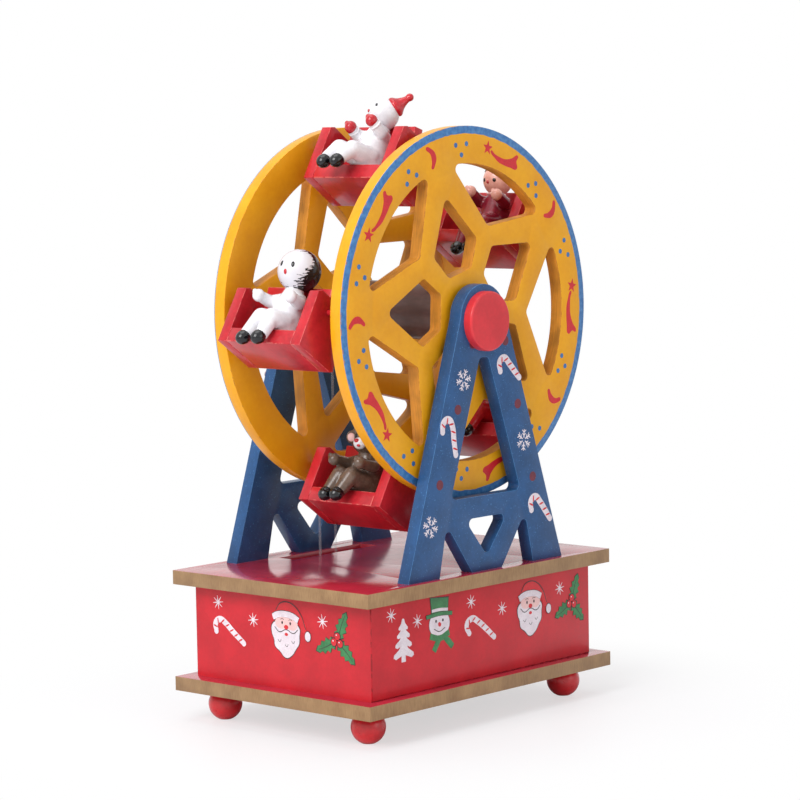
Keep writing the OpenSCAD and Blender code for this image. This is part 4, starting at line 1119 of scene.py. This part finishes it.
def elf_hair():
    """A cap of hair: a slightly larger ball, cut off by a plane that leans over the brow."""
    elf = POSES["elf"]
    bm = bmesh.new()
    lump(bm, (0, 0, 0), [elf["radius"] * s for s in (1.04, 1.06, 1.1)], segments=48)
    bmesh.ops.bisect_plane(bm, geom=bm.verts[:] + bm.edges[:] + bm.faces[:],
                           plane_co=(0, 0, 1.4), plane_no=(-0.62, 0, -1), clear_outer=True)
    bmesh.ops.holes_fill(bm, edges=[e for e in bm.edges if e.is_boundary])
    bmesh.ops.translate(bm, vec=elf["head"], verts=bm.verts)
    return seated(skin(bm, 0.3, 2), "elf", "hair", "hair")


elf_hair()
bell_cap("gnome", "red", leaning(0, 0, 1), 1.9, 5.4, 8.4, 1.3)
chin = POSES["gnome"]["head"]
lumps("gnome", "beard", "white", [(chin + look(-20, -66) * 3.6, (2.4, 3.4, 2.8)),
                                  (chin + look(-20, -46) * 4.4, (1.6, 3.0, 1.3))], (0.3, 2))


def collar(rider, finish):
    pose = POSES[rider]
    down = downward(pose)
    ring = (pose["head"] + down * pose["radius"] * 0.98, (3.5, 3.5, 1.0), facing(down), 36)
    return lumps(rider, "collar", finish, [ring])


collar("elf", "pink")
collar("clown", "white")
print("riders seated:", len(RIDERS))

# %% [markdown]
# ## Finishes for the pieces that keep their shape
# The drum, the axle, the pins, the belt, the dowels and the movement keep the
# frame's shape and only get their finish, also where they are hidden, because
# the part may be taken apart.

# %% Finishes on the frame's own pieces
KEPT = {
    drum_brown: ("drum",),
    beech: ("foot_dowels", "frame_dowels"),
    belt_clear: ("drive_belt",),
    car_red: ("car_pins",),
    steel: ("wheel_axle", "spacer_washers", "main_arbor", "mainspring", "cylinder_arbor", "comb",
            "comb_screws", "movement_screws", "winding_key", "spring_barrel"),
    brass: ("top_pulley", "lower_pulley", "bedplate", "front_bridge", "rear_bridge",
            "governor_cock", "great_wheel", "music_cylinder", "comb_block", "governor_wheel",
            "governor_fan"),
}
for finish, nodes in KEPT.items():
    for node in nodes:
        slots = frame["nodes"][node].data.materials
        slots.clear()
        slots.append(finish)
print("finished as they are:", sum(len(nodes) for nodes in KEPT.values()), "pieces")

# %% [markdown]
# ## Light and floor
# A white table in a white room, one big soft lamp at the camera's left, and
# weaker ones at its right and above, at a level where paint renders about as
# written.

# %% Floor, lamps and world
FLOOR_RADIUS, SHADE_ENDS = 6.0, (75, 160)
LAMPS_AIM = Vector((0, 0, 0.1))


def white_floor():
    """A near white floor that glows for the camera, and more so away from the toy; the weaker glow
    near the toy is painted shade round it, over its real shadow.
    """
    recipe = Recipe("floor_white", Roughness=0.5)
    cloud = recipe.noise(300, 2)
    seen = recipe.node("LightPath", out="Is Camera Ray")
    recipe.give(Base_Color=recipe.mix(cloud, ink(236, 236, 240), ink(244, 244, 248)))
    glow = recipe.node("Emission", {"Color": ink(255, 255, 255), "Strength": 1.0})
    across, along = recipe.axis("X"), recipe.axis("Y")
    # Near the toy the glow falls to 0.6, which paints shade on the floor round the toy.
    away = recipe.step((across * across + along * along) ** 0.5, *SHADE_ENDS)
    mixed = recipe.node("MixShader", {0: seen * (away * 0.4 + 0.6),
                                      1: Wire(recipe, recipe.shader.outputs[0]), 2: glow})
    recipe.feed(recipe.tree.nodes["Material Output"].inputs["Surface"], mixed)
    return recipe.material


bm = bmesh.new()
bmesh.ops.create_circle(bm, cap_ends=True, segments=64, radius=FLOOR_RADIUS)
floor = linked("floor", mesh_of(bm, "floor"))
floor.data.materials.append(white_floor())

for name, place, size, power in (("key_lamp", (-1.02, -0.12, 0.84), 0.7, 12.0),
                                 ("fill_lamp", (0.2, -1.35, 0.5), 0.8, 2.3),
                                 ("top_lamp", (-0.1, 0.1, 1.3), 0.8, 4.4)):
    light = bpy.data.lights.new(name, "AREA")
    light.shape, light.size, light.energy = "SQUARE", size, power
    aim = (LAMPS_AIM - Vector(place)).to_track_quat("-Z", "Y")
    linked(name, light).matrix_world = Matrix.Translation(place) @ aim.to_matrix().to_4x4()
world = bpy.data.worlds.new("white_room")
world.use_nodes = True
bpy.context.scene.world = world
world.node_tree.nodes.clear()
room = Nodes(world.node_tree)
mirrored = room.node("LightPath", out="Is Glossy Ray")
seen = room.node("LightPath", out="Is Camera Ray").maths("MAXIMUM", mirrored)
strength = room.node("MapRange", {"To Min": 0.5, "Value": seen})
background = room.node("Background", {"Color": ink(255, 255, 255), "Strength": strength})
room.node("OutputWorld", {"Surface": background})
bpy.context.scene.view_settings.view_transform = "Standard"
